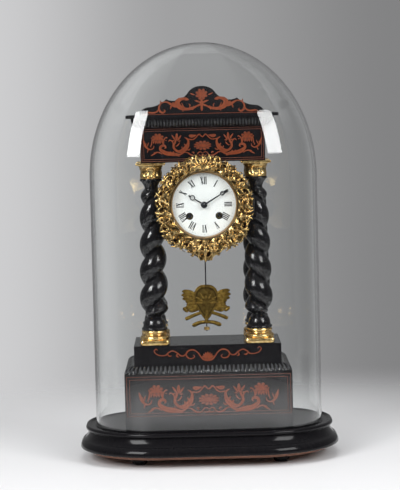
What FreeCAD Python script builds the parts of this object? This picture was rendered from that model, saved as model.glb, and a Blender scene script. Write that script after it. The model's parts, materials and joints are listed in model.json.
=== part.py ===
import FreeCAD, Part
import math
import os
import Sketcher
from FreeCAD import Placement, Rotation, Vector

# A portico mantel clock under an oval glass dome. Millimetres and degrees.
# X is to the right, -Y is the front, Z is up, and the feet stand on Z = 0.

SIZES = {
    # Oval plan that the dome, its groove and the plinth all follow
    "dome_width": 327,
    "dome_depth": 208,
    "dome_corner": 93,
    "dome_wall": 3,
    "dome_headroom": 63,
    "dome_rise": 191,
    # Feet and underside board
    "foot_height": 12,
    "foot_diameter": 23,
    "foot_pad_diameter": 16,
    "foot_neck_diameter": 17,
    "foot_spacing_x": 202,
    "foot_spacing_y": 150,
    "board_thickness": 5,
    "board_overhang": 10,
    # Plinth moulding, measured outwards from the dome line
    "plinth_height": 33,
    "plinth_overhang": 23.5,
    "plinth_belly_height": 3,
    "plinth_waist_overhang": 17,
    "plinth_waist_height": 13.5,
    "plinth_neck_overhang": 10.8,
    "plinth_neck_height": 25,
    "plinth_web": 30,
    "plinth_top": 13,
    "rim_bead_radius": 3.3,
    "rim_bead_overhang": 12.2,
    "groove_depth": 4,
    "groove_ledge_drop": 2,
    "groove_play": 1,
    # Clock base
    "base_step": 14,
    "base_height": 77,
    "base_wall": 10,
    "base_lid": 12,
    "base_moulding_height": 14,
    "moulding_fillet": 1.5,
    "block_margin": 9,
    "block_height": 26,
    # Columns
    "column_drum_gap": 2.4,
    "column_spacing_y": 74,
    "column_height": 217,
    "shaft_foot_radius": 18.5,
    "shaft_foot_height": 20,
    "shaft_foot_neck": 10.5,
    "shaft_head_radius": 16,
    "shaft_head_height": 16,
    "shaft_head_neck": 9,
    "twist_bottom_radius": 20.8,
    "twist_top_radius": 16.6,
    "twist_bottom_valley": 12.4,
    "twist_top_valley": 8.8,
    "twist_pitch": 38.5,
    "twist_runout": 12,
    "pedestal_width": 42,
    "pedestal_height": 21,
    "pedestal_slab": 8,
    "capital_width": 42,
    "capital_height": 23,
    "capital_abacus": 3.5,
    "capital_bell_radius": 15.4,
    "capital_flare_radius": 20,
    "capital_ring_radius": 16.6,
    "capital_bell_height": 13,
    # Tie rods
    "rod_radius": 2.5,
    "rod_play": 0.3,
    "rod_thread": 9,
    "nut_width": 9,
    "nut_height": 4,
    # Entablature
    "frieze_reach": 13.5,
    "frieze_height": 47.5,
    "frieze_wall": 8,
    "cornice_height": 15.5,
    "cornice_spread": 12,
    "slab_reach_x": 19,
    "slab_reach_y": 15.5,
    "slab_thickness": 4.6,
    "crest_half_width": 88,
    "crest_height": 39.4,
    "crest_thickness": 9,
    "crest_setback": 3,
    # Drum that holds the movement
    "saddle_height": 5,
    "drum_radius": 56,
    "drum_wall": 2,
    "drum_front": 58.6,
    "drum_back": 40,
    "saddle_width": 52,
    "saddle_length": 80,
    "saddle_play": 0.05,
    "slot_width": 26,
    "slot_length": 12,
    "cover_thickness": 1.5,
    "cover_knob_radius": 4,
    # Bezel
    "bezel_gap": 0.3,
    "bezel_plate": 3,
    "bezel_depth": 16,
    "bezel_bore": 48.5,
    "bezel_crown_radius": 57,
    "bezel_radius": 66,
    "bezel_lobe": 5,
    "bezel_top": 71,
    "bezel_bottom": 82,
    "sight_ring_width": 3.6,
    "sight_ring_depth": 5,
    "glass_thickness": 1.6,
    "glass_bulge": 5,
    "glass_setback": 5.5,
    "hinge_x": 69.5,
    "hinge_barrel_radius": 2,
    "hinge_pin_radius": 0.8,
    "hinge_play": 0.05,
    "hinge_height": 20,
    "hinge_leaf": 1,
    "hinge_lug_start": 60,
    # Dial and hands
    "dial_radius": 45,
    "dial_thickness": 1.5,
    "dial_recess": 3.2,
    "dial_eye_radius": 4.2,
    "winding_hole_radius": 4.5,
    "winding_spread": 21,
    "winding_drop": 16,
    "dial_plate_thickness": 1.5,
    "hand_thickness": 0.8,
    "hour_hand_gap": 2.2,
    "minute_hand_gap": 4.6,
    "hour_hand_length": 26,
    "hour_hand_ring": 19.5,
    "hour_ring_radius": 4,
    "minute_hand_length": 41,
    "minute_hand_ring": 30.5,
    "minute_ring_radius": 3.2,
    "hand_hub_radius": 4.7,
    "hand_tail_width": 2.2,
    "hand_tip_width": 0.8,
    "ring_band": 1.2,
    "hour_angle": 302,
    "minute_angle": 59,
    "collet_radius": 3,
    "collet_height": 1.6,
    # Movement
    "plate_radius": 44,
    "plate_thickness": 2.5,
    "plate_distance": 35.5,
    "plate_front": 46,
    "pillar_radius": 3,
    "pillar_circle": 39,
    "pillar_upper_angle": 40,
    "pillar_lower_angle": 78,
    "foot_post_radius": 2,
    "foot_post_circle": 41,
    "barrel_radius": 17,
    "barrel_width": 16,
    "arbor_radius": 2.6,
    "arbor_play": 0.05,
    "pivot_radius": 1,
    "minute_arbor_radius": 1.4,
    "hour_pipe_radius": 3,
    "wheel_thickness": 1.3,
    "rim_band": 3,
    "wheel_hub_radius": 4,
    "spoke_width": 2.4,
    "pinion_length": 4,
    "intermediate_radius": 13,
    "centre_radius": 13,
    "third_radius": 12,
    "escape_radius": 9,
    "pin_wheel_radius": 13,
    "mesh_play": 0.15,
    "slow_teeth": 80,
    "slow_leaves": 10,
    "fast_teeth": 77,
    "fast_leaves": 7,
    "level_step": 4.5,
    "anchor_span": 11.7,
    "anchor_thickness": 2,
    "pallet_play": 1,
    "crutch_length": 34,
    "crutch_radius": 0.8,
    "fork_play": 0.2,
    # Pendulum
    "suspension_rise": 38.5,
    "pendulum_plane": 10,
    "bob_lift": 20,
    "pendulum_rod_radius": 0.9,
    "suspension_gap": 0.3,
    "spring_width": 4,
    "spring_thickness": 0.3,
    "spring_length": 9,
    "cock_width": 12,
    "cock_height": 9,
    "bob_width": 72,
    "bob_height": 60,
    "bob_thickness": 4,
    "rating_nut_radius": 4,
    "rating_nut_height": 4,
    # Striking work
    "bell_radius": 30,
    "bell_depth": 20,
    "bell_wall": 1.5,
    "bell_front": 16,
    "bell_drop": 8,
    "stand_offset_x": 12,
    "stand_offset_z": 18,
    "stand_radius": 2,
    "hammer_pivot_x": 34,
    "hammer_pivot_z": 18,
    "hammer_head_radius": 3.5,
    "hammer_head_length": 9,
    "hammer_gap": 1,
    # One overrun serves every cut
    "overrun": 2,
}

# A ring of the twist has this many points from its ridge round to its valley,
# and each turn has as many rings as a ring has points
POINTS_PER_HALF = 9

doc = FreeCAD.newDocument("portico_clock")
sheet = doc.addObject("Spreadsheet::Sheet", "Sizes")


class Size:
    """A number together with the formula that gives it."""

    def __init__(self, value, text):
        self.value = float(value)
        self.text = text

    def __add__(self, other):
        other = as_size(other)
        return Size(self.value + other.value, f"({self.text} + {other.text})")

    def __sub__(self, other):
        other = as_size(other)
        return Size(self.value - other.value, f"({self.text} - {other.text})")

    def __mul__(self, other):
        other = as_size(other)
        return Size(self.value * other.value, f"{self.text} * {other.text}")

    def __truediv__(self, other):
        other = as_size(other)
        return Size(self.value / other.value, f"{self.text} / ({other.text})")

    def __neg__(self):
        return Size(-self.value, f"(0 - {self.text})")

    __radd__ = __add__
    __rmul__ = __mul__

    def __rsub__(self, other):
        return as_size(other) - self


def as_size(number):
    if isinstance(number, Size):
        return number
    return Size(number, f"({float(number)!r})")


class Sizes:
    """Every named size, read back from the sheet."""


s = Sizes()
for row, (alias, number) in enumerate(SIZES.items(), start=1):
    sheet.set(f"A{row}", alias)
    sheet.set(f"B{row}", str(number))
    sheet.setAlias(f"B{row}", alias)
doc.recompute()
for alias in SIZES:
    setattr(s, alias, Size(getattr(sheet, alias), f"Sizes.{alias}"))

# Heights and depths that several pieces share
board_z = s.foot_height
plinth_z = board_z + s.board_thickness
plateau_z = plinth_z + s.plinth_height
groove_z = plateau_z - s.groove_depth
moulding_z = plateau_z + s.base_height
block_z = moulding_z + s.base_moulding_height
pedestal_z = block_z + s.block_height
shaft_z = pedestal_z + s.pedestal_height
capital_z = shaft_z + s.column_height
frieze_z = capital_z + s.capital_height
cornice_z = frieze_z + s.frieze_height
slab_z = cornice_z + s.cornice_height
crest_z = slab_z + s.slab_thickness
dome_spring_z = crest_z + s.crest_height + s.dome_headroom - s.dome_rise
dome_skirt = dome_spring_z - groove_z

# Widths and depths: the drum sets the columns apart, and they set the rest
column_spacing_x = (s.drum_radius + s.twist_top_radius + s.column_drum_gap) * 2
block_width = column_spacing_x + s.pedestal_width + s.block_margin * 2
block_depth = s.column_spacing_y + s.pedestal_width
base_width = block_width + s.base_step * 2
base_depth = block_depth + s.base_step * 2
frieze_width = column_spacing_x + s.frieze_reach * 2
frieze_depth = s.column_spacing_y + s.frieze_reach * 2
slab_width = frieze_width + s.slab_reach_x * 2
slab_depth = frieze_depth + s.slab_reach_y * 2

dial_z = frieze_z - s.saddle_height - s.drum_radius
dial_y = s.dial_recess - s.drum_front
plate_front_y = -s.plate_front
plate_inner_y = plate_front_y + s.plate_thickness
back_plate_y = plate_inner_y + s.plate_distance
back_plate_end_y = back_plate_y + s.plate_thickness
suspension_z = dial_z + s.suspension_rise
escape_z = suspension_z - s.anchor_span
pendulum_length = suspension_z - pedestal_z - s.bob_lift - s.bob_height / 2

column_x = column_spacing_x / 2
column_y = s.column_spacing_y / 2
rod_bore = s.rod_radius + s.rod_play

parts = []


def keep(shape_object, name):
    """Makes an object one of the clock's pieces, under its own name."""
    shape_object.Label = name
    parts.append(shape_object)
    return shape_object


def bind(target, **values):
    """Binds properties of an object to sizes."""
    for name, value in values.items():
        target.setExpression(name, as_size(value).text)


def place(target, x=0, y=0, z=0):
    """Binds an object's position to sizes."""
    for axis, value in (("x", x), ("y", y), ("z", z)):
        target.setExpression(f"Placement.Base.{axis}", as_size(value).text)


# Outlines, and the solids made from them

def origin_plane(body, role):
    return [item for item in body.Origin.OriginFeatures if item.Role == role][0]


def new_body(name):
    return doc.addObject("PartDesign::Body", name)


def new_sketch(body, name, role, lift=None):
    """A sketch on one of the body's own planes, lifted off it if asked."""
    sketch = body.newObject("Sketcher::SketchObject", name)
    sketch.AttachmentSupport = [(origin_plane(body, role), "")]
    sketch.MapMode = "FlatFace"
    if lift is not None:
        sketch.setExpression("AttachmentOffset.Base.z", as_size(lift).text)
    return sketch


def pin_vertex(sketch, edge, end, point):
    """Fixes a vertex by its distances from the sketch's origin."""
    for kind, value in zip(("DistanceX", "DistanceY"), point):
        value = as_size(value)
        constraint = Sketcher.Constraint(kind, -1, 1, edge, end, value.value)
        index = sketch.addConstraint(constraint)
        sketch.setExpression(f"Constraints[{index}]", value.text)


def arc_between(start, end, radius, turn):
    """The short arc between two points; a turn of 1 runs counter-clockwise."""
    chord = end - start
    half = chord.Length / 2
    normal = Vector(-chord.y, chord.x, 0).normalize()
    height = math.sqrt(max(radius * radius - half * half, 0))
    centre = start + chord / 2 + normal * height * turn
    circle = Part.Circle(centre, Vector(0, 0, 1), radius)
    first, last = (start, end) if turn > 0 else (end, start)
    return Part.ArcOfCircle(circle, circle.parameter(first), circle.parameter(last))


def draw_outline(sketch, outline):
    """Draws a closed outline.

    Each entry is the next vertex, (x, y). An entry (x, y, radius, turn) is
    reached by an arc instead of a straight line.
    """
    flat = [Vector(as_size(p[0]).value, as_size(p[1]).value, 0) for p in outline]
    first_edge = sketch.GeometryCount
    ends = []
    for index, entry in enumerate(outline):
        start, end = flat[index - 1], flat[index]
        if len(entry) == 2:
            edge = sketch.addGeometry(Part.LineSegment(start, end))
            ends.append((edge, 1, 2))
            continue
        radius, turn = as_size(entry[2]), entry[3]
        edge = sketch.addGeometry(arc_between(start, end, radius.value, turn))
        ends.append((edge, 1, 2) if turn > 0 else (edge, 2, 1))
        bend = sketch.addConstraint(Sketcher.Constraint("Radius", edge, radius.value))
        sketch.setExpression(f"Constraints[{bend}]", radius.text)
    for index, entry in enumerate(outline):
        edge, _, end = ends[index]
        following, start, _ = ends[(index + 1) % len(ends)]
        join = Sketcher.Constraint("Coincident", edge, end, following, start)
        sketch.addConstraint(join)
        pin_vertex(sketch, edge, end, entry[:2])
    return first_edge


def draw_circle(sketch, x, y, radius):
    x, y, radius = as_size(x), as_size(y), as_size(radius)
    circle = Part.Circle(Vector(x.value, y.value, 0), Vector(0, 0, 1), radius.value)
    edge = sketch.addGeometry(circle)
    pin_vertex(sketch, edge, 3, (x, y))
    bend = sketch.addConstraint(Sketcher.Constraint("Radius", edge, radius.value))
    sketch.setExpression(f"Constraints[{bend}]", radius.text)


def rectangle(width, height, x=0, y=0):
    """A centred rectangle's outline."""
    left, right = x - width / 2, x + width / 2
    low, high = y - height / 2, y + height / 2
    return [(left, low), (right, low), (right, high), (left, high)]


def rounded_rectangle(width, depth, corner):
    """A centred rectangle with round corners."""
    w, d = width / 2, depth / 2
    return [
        (w - corner, -d),
        (w, corner - d, corner, 1),
        (w, d - corner),
        (w - corner, d, corner, 1),
        (corner - w, d),
        (-w, d - corner, corner, 1),
        (-w, corner - d),
        (corner - w, -d, corner, 1),
    ]


def pad(body, sketch, length, symmetric=False, backwards=False):
    feature = body.newObject("PartDesign::Pad", f"{sketch.Name}_pad")
    feature.Profile = sketch
    feature.SideType = "Symmetric" if symmetric else "One side"
    feature.Reversed = backwards
    bind(feature, Length=length)
    return feature


def pocket(body, sketch, length=None, backwards=False):
    """Cuts a sketch into a body, right through it where no length is given."""
    feature = body.newObject("PartDesign::Pocket", f"{sketch.Name}_pocket")
    feature.Profile = sketch
    if length is None:
        feature.SideType = "Symmetric"
        feature.Type = "ThroughAll"
    else:
        feature.Reversed = backwards
        bind(feature, Length=length)
    return feature


def padded(name, role, outline, length, symmetric=False, backwards=False):
    """A body whose first feature is one padded outline."""
    body = new_body(name)
    sketch = new_sketch(body, f"{name}_outline", role)
    draw_outline(sketch, outline)
    pad(body, sketch, length, symmetric, backwards)
    return body


def turned(name, outline, role="XZ_Plane"):
    """A body turned about its vertical axis, or about Y on the XY plane."""
    body = new_body(name)
    sketch = new_sketch(body, f"{name}_section", role)
    draw_outline(sketch, outline)
    feature = body.newObject("PartDesign::Revolution", f"{name}_turning")
    feature.Profile = sketch
    feature.ReferenceAxis = (sketch, ["V_Axis"])
    return body


def bore_at_columns(body, name, radius):
    """Bores a body for the four tie rods."""
    sketch = new_sketch(body, name, "XY_Plane")
    for side in (-1, 1):
        for end in (-1, 1):
            draw_circle(sketch, column_x * side, column_y * end, radius)
    pocket(body, sketch)


# Rods and blocks

def cylinder(name, radius, start, length, x=0, y=0, z=0, along="y"):
    """A cylinder along one axis, from start along it."""
    rod = doc.addObject("Part::Cylinder", name)
    bind(rod, Radius=radius, Height=length)
    turns = {
        "x": (Vector(0, 1, 0), 90),
        "y": (Vector(1, 0, 0), -90),
        "z": (Vector(0, 0, 1), 0),
    }
    rod.Placement.Rotation = Rotation(*turns[along])
    base = {"x": x, "y": y, "z": z}
    base[along] = start
    place(rod, **base)
    return rod


def block(name, width, depth, height, x=0, y=0, z=0):
    """A box centred on x and y that stands on z."""
    solid = doc.addObject("Part::Box", name)
    bind(solid, Length=width, Width=depth, Height=height)
    place(solid, x - width / 2, y - depth / 2, z)
    return solid


def fused(name, *members):
    solid = doc.addObject("Part::MultiFuse", name)
    solid.Shapes = list(members)
    return solid


def cut(name, base, tool):
    solid = doc.addObject("Part::Cut", name)
    solid.Base = base
    solid.Tool = tool
    return solid


def grouped(name, members):
    """Like pieces that share one name and stay separate solids."""
    group = doc.addObject("Part::Compound", name)
    group.Links = members
    return group


def shaped(name, shape):
    """A piece whose form neither sketches nor primitives fit."""
    feature = doc.addObject("Part::Feature", name)
    feature.Shape = shape
    return feature


COLUMNS = {
    "front_left": (-1, -1),
    "front_right": (1, -1),
    "rear_left": (-1, 1),
    "rear_right": (1, 1),
}
# Where each strand stands at the foot of its twist, in degrees from the right
TWIST_START = {
    "front_left": 299,
    "front_right": 241,
    "rear_left": 353,
    "rear_right": 10,
}


# Plinth: bun feet, an underside board, and one moulding swept round an oval

def dome_plan(shrink=0, share=1):
    """The dome's oval plan, drawn in all round and then scaled by a share."""
    shrink = as_size(shrink)
    return rounded_rectangle(
        (s.dome_width - shrink * 2) * share,
        (s.dome_depth - shrink * 2) * share,
        (s.dome_corner - shrink) * share,
    )


def make_feet():
    feet = []
    for index, (side, end) in enumerate(COLUMNS.values()):
        bulge = s.foot_diameter / 2
        middle = s.foot_height / 2
        foot = turned(
            f"foot_{index}",
            [
                (0, 0),
                (s.foot_pad_diameter / 2, 0),
                (bulge, middle, s.foot_height * 0.6, 1),
                (s.foot_neck_diameter / 2, s.foot_height, s.foot_height * 0.6, 1),
                (0, s.foot_height),
            ],
        )
        place(foot, s.foot_spacing_x / 2 * side, s.foot_spacing_y / 2 * end, 0)
        feet.append(foot)
    keep(grouped("bun_feet_group", feet), "bun_feet")


def make_underboard():
    board = padded("underboard", "XY_Plane", dome_plan(-s.board_overhang), s.board_thickness)
    place(board, 0, 0, board_z)
    keep(board, "plinth_underboard")


def make_plinth():
    body = new_body("plinth")
    path = new_sketch(body, "plinth_path", "XY_Plane")
    draw_outline(path, dome_plan())
    section = new_sketch(body, "plinth_section", "XZ_Plane")
    edge = s.dome_width / 2
    bead_low = s.plinth_height - s.rim_bead_radius * 2
    belly = s.plinth_belly_height
    groove_floor = s.plinth_height - s.groove_depth
    ledge = s.plinth_height - s.groove_ledge_drop
    inner = -(s.dome_wall + s.groove_play)
    draw_outline(
        section,
        [
            (edge - s.plinth_web, 0),
            (edge + s.plinth_overhang - belly, 0),
            (edge + s.plinth_overhang, belly, belly, 1),
            (edge + s.plinth_waist_overhang, s.plinth_waist_height, s.plinth_height * 0.36, 1),
            (edge + s.plinth_neck_overhang, s.plinth_neck_height, s.plinth_height * 0.6, -1),
            (edge + s.rim_bead_overhang, bead_low),
            (edge + s.rim_bead_overhang, s.plinth_height, s.rim_bead_radius * 1.001, 1),
            (edge + s.rim_bead_overhang - s.rim_bead_radius, ledge, s.rim_bead_radius * 1.2, 1),
            (edge + s.groove_play, ledge),
            (edge + s.groove_play, groove_floor),
            (edge + inner, groove_floor),
            (edge + inner, s.plinth_height),
            (edge - s.plinth_web, s.plinth_height),
        ],
    )
    sweep = body.newObject("PartDesign::AdditivePipe", "plinth_moulding")
    sweep.Profile = section
    sweep.Spine = path
    doc.recompute()
    lid = new_sketch(body, "plinth_lid", "XY_Plane", s.plinth_height - s.plinth_top)
    draw_outline(lid, dome_plan(s.plinth_web * 0.7))
    pad(body, lid, s.plinth_top)
    place(body, 0, 0, plinth_z)
    keep(body, "plinth")


# Glass dome: a straight skirt under an arched top, hollow throughout

# The arched top is lofted through this many plans
DOME_SECTIONS = 8


def make_dome():
    body = new_body("glass_dome")
    skirt = new_sketch(body, "dome_skirt_plan", "XY_Plane")
    draw_outline(skirt, dome_plan())
    pad(body, skirt, dome_skirt)
    loft_top(body, "dome_outside", as_size(0), s.dome_rise, "PartDesign::AdditiveLoft")
    hollow = new_sketch(body, "dome_hollow_plan", "XY_Plane")
    draw_outline(hollow, dome_plan(s.dome_wall))
    pocket(body, hollow, dome_skirt, backwards=True)
    inner_rise = s.dome_rise - s.dome_wall
    loft_top(body, "dome_inside", s.dome_wall, inner_rise, "PartDesign::SubtractiveLoft")
    place(body, 0, 0, groove_z)
    keep(body, "glass_dome")


def loft_top(body, name, shrink, rise, kind):
    """Lofts the arched top through plans that shrink as they climb."""
    sections = []
    for index in range(DOME_SECTIONS):
        angle = math.radians(88) * index / (DOME_SECTIONS - 1)
        lift = dome_skirt + rise * math.sin(angle)
        sketch = new_sketch(body, f"{name}_{index}", "XY_Plane", lift)
        draw_outline(sketch, dome_plan(shrink, math.cos(angle)))
        sections.append(sketch)
    doc.recompute()
    loft = body.newObject(kind, name)
    loft.Profile = sections[0]
    loft.Sections = sections[1:]
    loft.Ruled = False


# Clock base: a hollow box, a moulding and a block

def make_base():
    box = padded("base_box", "XY_Plane", rectangle(base_width, base_depth), s.base_height)
    hollow = new_sketch(box, "base_box_hollow", "XY_Plane")
    wall = s.base_wall * 2
    draw_outline(hollow, rectangle(base_width - wall, base_depth - wall))
    pocket(box, hollow, s.base_height - s.base_lid, backwards=True)
    bore_at_columns(box, "base_box_bores", rod_bore)
    place(box, 0, 0, plateau_z)
    keep(box, "base_box")

    moulding = moulded_board(
        "base_moulding",
        base_width,
        base_depth,
        s.base_moulding_height,
        (base_width - block_width) / 2,
        False,
    )
    bore_at_columns(moulding, "base_moulding_bores", rod_bore)
    place(moulding, 0, 0, moulding_z)
    keep(moulding, "base_moulding")

    upper = padded("base_block", "XY_Plane", rectangle(block_width, block_depth), s.block_height)
    bore_at_columns(upper, "base_block_bores", rod_bore)
    place(upper, 0, 0, block_z)
    keep(upper, "base_block")


def moulded_board(name, width, depth, height, spread, wide_at_top):
    """A board with an ovolo moulding round all four edges.

    The moulding is full width at the bottom, or at the top if asked, and
    draws in by its spread. It is padded from the front outline, and the same
    outline then cuts the front and back edges.
    """
    fillet = s.moulding_fillet
    bend = height * 1.05

    def side(half, sign):
        """The right-hand edge from bottom to top, or the left from top to bottom."""
        if wide_at_top:
            climb = [
                (half - spread, 0),
                (half - spread, fillet),
                (half - fillet, height - fillet, bend, 1),
                (half, height - fillet),
                (half, height),
            ]
        else:
            climb = [
                (half, 0),
                (half, fillet),
                (half - spread + fillet, height - fillet, bend, 1),
                (half - spread, height - fillet),
                (half - spread, height),
            ]
        if sign > 0:
            return climb
        mirrored = []
        for index in reversed(range(len(climb))):
            x, z = climb[index][:2]
            above = climb[index + 1] if index + 1 < len(climb) else ()
            mirrored.append((-x, z) + tuple(above[2:]))
        return mirrored

    body = new_body(name)
    front = new_sketch(body, f"{name}_front", "XZ_Plane")
    draw_outline(front, side(width / 2, 1) + side(width / 2, -1))
    pad(body, front, depth, symmetric=True)
    doc.recompute()
    ends = new_sketch(body, f"{name}_ends", "YZ_Plane")
    outside = depth / 2 + s.overrun
    low, high = -s.overrun, height + s.overrun
    climb = side(depth / 2, 1)
    first_x, last_x = climb[0][0], climb[-1][0]
    front_waste = [(last_x, high), (outside, high), (outside, low)]
    draw_outline(ends, [(first_x, low)] + climb + front_waste)
    rear_waste = [(-first_x, low), (-outside, low), (-outside, high)]
    draw_outline(ends, [(-last_x, high)] + side(depth / 2, -1) + rear_waste)
    pocket(body, ends)
    return body


# Columns with their gilt pedestals and capitals

def twist_reach(peak, valley, turn):
    """The shaft's radius at a turn, in half turns, away from the strand's ridge.

    Along the shaft the strand's outline is a row of arcs, one to each pitch,
    which meet in a sharp valley.
    """
    half = s.twist_pitch.value / 2
    sagitta = peak - valley
    bend = (half * half + sagitta * sagitta) / (2 * sagitta)
    return peak - bend + math.sqrt(bend * bend - (half * turn) ** 2)


def strand_ring(peak, valley, neck, swell):
    """A cut square through the shaft: one strand wound round its core.

    Each point is its angle from the ridge and its radius. The strand swells
    out of a round neck, from a swell of 0 to its full form at 1.
    """
    points = []
    for index in range(-POINTS_PER_HALF, POINTS_PER_HALF):
        turn = index / POINTS_PER_HALF
        reach = neck + (twist_reach(peak, valley, abs(turn)) - neck) * swell
        points.append((turn * 180, reach))
    return points


def barley_twist(hand, start):
    """A single strand that winds up the shaft, thicker towards its foot.

    At both ends the strand runs out into the plain necks of the turnings. A
    ring's points lie nearly above those one step back in the ring below, so
    the facets are split on that upright line and the valley stays clean.
    """
    low = s.shaft_foot_height.value
    high = s.column_height.value - s.shaft_head_height.value
    turns = (high - low) / s.twist_pitch.value
    count = math.ceil(turns * POINTS_PER_HALF * 2)
    rings = []
    for index in range(count + 1):
        share = index / count
        height = low + (high - low) * share
        peak = blended(s.twist_bottom_radius, s.twist_top_radius, share)
        valley = blended(s.twist_bottom_valley, s.twist_top_valley, share)
        neck = blended(s.shaft_foot_neck, s.shaft_head_neck, share)
        fade = min(height - low, high - height, s.twist_runout.value) / s.twist_runout.value
        swell = math.sin(fade * math.pi / 2)
        ring = []
        for angle, reach in strand_ring(peak, valley, neck, swell):
            turn = math.radians(start + hand * (share * turns * 360 + angle))
            ring.append(Vector(reach * math.cos(turn), reach * math.sin(turn), height))
        rings.append(ring)
    return faceted_solid(rings)


def faceted_solid(rings):
    """A closed solid of flat triangles between rings of points, with flat ends."""
    faces = []
    for lower, upper in zip(rings, rings[1:]):
        for index, corner in enumerate(lower):
            following = lower[(index + 1) % len(lower)]
            faces.append(triangle(corner, following, upper[index]))
            faces.append(triangle(corner, upper[index], upper[index - 1]))
    for ring in (rings[0], rings[-1]):
        faces.append(Part.Face(Part.makePolygon(ring + ring[:1])))
    shell = Part.Shell(faces)
    shell.sewShape()
    solid = Part.Solid(shell)
    if solid.Volume < 0:
        solid.reverse()
    return solid


def triangle(first, second, third):
    return Part.Face(Part.makePolygon([first, second, third, first]))


def blended(first, last, share):
    return first.value * (1 - share) + last.value * share


def turned_solid(outline, low):
    """An outline, written as for a sketch, turned about the vertical axis."""
    flat = [Vector(as_size(entry[0]).value, as_size(entry[1]).value, 0) for entry in outline]
    edges = []
    for index, entry in enumerate(outline):
        start, end = flat[index - 1], flat[index]
        if len(entry) == 2:
            edges.append(Part.LineSegment(start, end).toShape())
        else:
            edges.append(arc_between(start, end, as_size(entry[2]).value, entry[3]).toShape())
    face = Part.Face(Part.Wire(Part.sortEdges(edges)[0]))
    face.rotate(Vector(0, 0, 0), Vector(1, 0, 0), 90)
    face.translate(Vector(0, 0, as_size(low).value))
    return face.revolve(Vector(0, 0, 0), Vector(0, 0, 1), 360)


def shaft_foot():
    """The torus and the cushion under the twist."""
    rim, neck, tall = s.shaft_foot_radius, s.shaft_foot_neck, s.shaft_foot_height
    bead = tall * 0.23
    outline = [
        (0, 0),
        (rim - bead, 0),
        (rim - bead, bead * 2, bead * 1.001, 1),
        (rim - bead / 2, bead * 2),
        (neck, tall * 0.85, tall * 0.46, 1),
        (neck, tall),
        (0, tall),
    ]
    return turned_solid(outline, 0)


def shaft_head():
    """The cove and the torus over the twist."""
    rim, neck, tall = s.shaft_head_radius, s.shaft_head_neck, s.shaft_head_height
    bead = tall * 0.23
    outline = [
        (0, 0),
        (neck, 0),
        (neck, tall * 0.1),
        (rim - bead, tall - bead * 2, tall * 0.55, -1),
        (rim - bead, tall, bead * 1.001, 1),
        (0, tall),
    ]
    return turned_solid(outline, s.column_height - tall)


def make_columns():
    bore = Part.makeCylinder(rod_bore.value, s.column_height.value)
    foot, head = shaft_foot(), shaft_head()
    for name, (side, end) in COLUMNS.items():
        twist = barley_twist(-side, TWIST_START[name])
        shape = twist.fuse([foot, head]).cut(bore)
        column = shaped(f"shaft_{name}", shape)
        place(column, column_x * side, column_y * end, shaft_z)
        keep(column, f"column_{name}")
        make_pedestal(name, column_x * side, column_y * end)
        make_capital(name, column_x * side, column_y * end)


def make_pedestal(name, x, y):
    """A square slab that carries two tori with a hollow between."""
    label = f"pedestal_{name}"
    wide, slab = s.pedestal_width, s.pedestal_slab
    body = padded(label, "XY_Plane", rectangle(wide, wide), slab)
    section = new_sketch(body, f"{label}_section", "XZ_Plane")
    top = s.pedestal_height
    lower, upper = (top - slab) * 0.42, (top - slab) * 0.3
    low_reach = (wide - lower) / 2
    high_reach = s.shaft_foot_radius - upper / 2
    draw_outline(
        section,
        [
            (0, slab - s.overrun),
            (low_reach, slab - s.overrun),
            (low_reach, slab),
            (low_reach, slab + lower, lower * 0.501, 1),
            (high_reach, top - upper, (top - slab) * 0.35, -1),
            (high_reach, top, upper * 0.501, 1),
            (0, top),
        ],
    )
    turning = body.newObject("PartDesign::Revolution", f"{label}_turning")
    turning.Profile = section
    turning.ReferenceAxis = (section, ["V_Axis"])
    doc.recompute()
    drill(body, f"{label}_bore", rod_bore)
    place(body, x, y, pedestal_z)
    keep(body, f"column_base_{name}")


def make_capital(name, x, y):
    """A drum with a ring at its top, flaring out under a square abacus."""
    label = f"capital_{name}"
    height, abacus = s.capital_height, s.capital_abacus
    drum, flare, ring = s.capital_bell_radius, s.capital_flare_radius, s.capital_ring_radius
    bead = ring - drum
    drum_height, under = s.capital_bell_height, height - abacus
    body = turned(
        label,
        [
            (0, 0),
            (drum, 0),
            (drum, drum_height),
            (drum, drum_height + bead * 2, bead * 1.001, 1),
            (flare, under, (under - drum_height) * 1.2, -1),
            (flare, under + abacus / 2),
            (0, under + abacus / 2),
        ],
    )
    top = new_sketch(body, f"{label}_abacus", "XY_Plane", under)
    draw_outline(top, rectangle(s.capital_width, s.capital_width))
    pad(body, top, abacus)
    doc.recompute()
    drill(body, f"{label}_bore", rod_bore)
    place(body, x, y, capital_z)
    keep(body, f"capital_{name}")


def drill(body, name, radius):
    """A hole right through a body on its vertical axis."""
    hole = new_sketch(body, name, "XY_Plane")
    draw_circle(hole, 0, 0, radius)
    pocket(body, hole)


def make_tie_rods():
    """A rod through each column, with a nut under the base and one in the frieze."""
    solids = []
    low = moulding_z - s.base_lid - s.rod_thread
    high = frieze_z + s.frieze_wall + s.rod_thread
    nuts = {
        "lower": moulding_z - s.base_lid - s.nut_height,
        "upper": frieze_z + s.frieze_wall,
    }
    for name, (side, end) in COLUMNS.items():
        at = {"x": column_x * side, "y": column_y * end, "along": "z"}
        solids.append(cylinder(f"rod_{name}", s.rod_radius, low, high - low, **at))
        for level, nut_z in nuts.items():
            nut = doc.addObject("Part::Prism", f"nut_{level}_{name}")
            nut.Polygon = 6
            bind(nut, Circumradius=s.nut_width / 2, Height=s.nut_height)
            place(nut, at["x"], at["y"], nut_z)
            hole = cylinder(f"nut_hole_{level}_{name}", s.rod_radius, nut_z, s.nut_height, **at)
            solids.append(cut(f"drilled_nut_{level}_{name}", nut, hole))
    keep(grouped("tie_rods", solids), "column_tie_rods")


# Entablature: frieze box, cornice, slab and crest board

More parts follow.
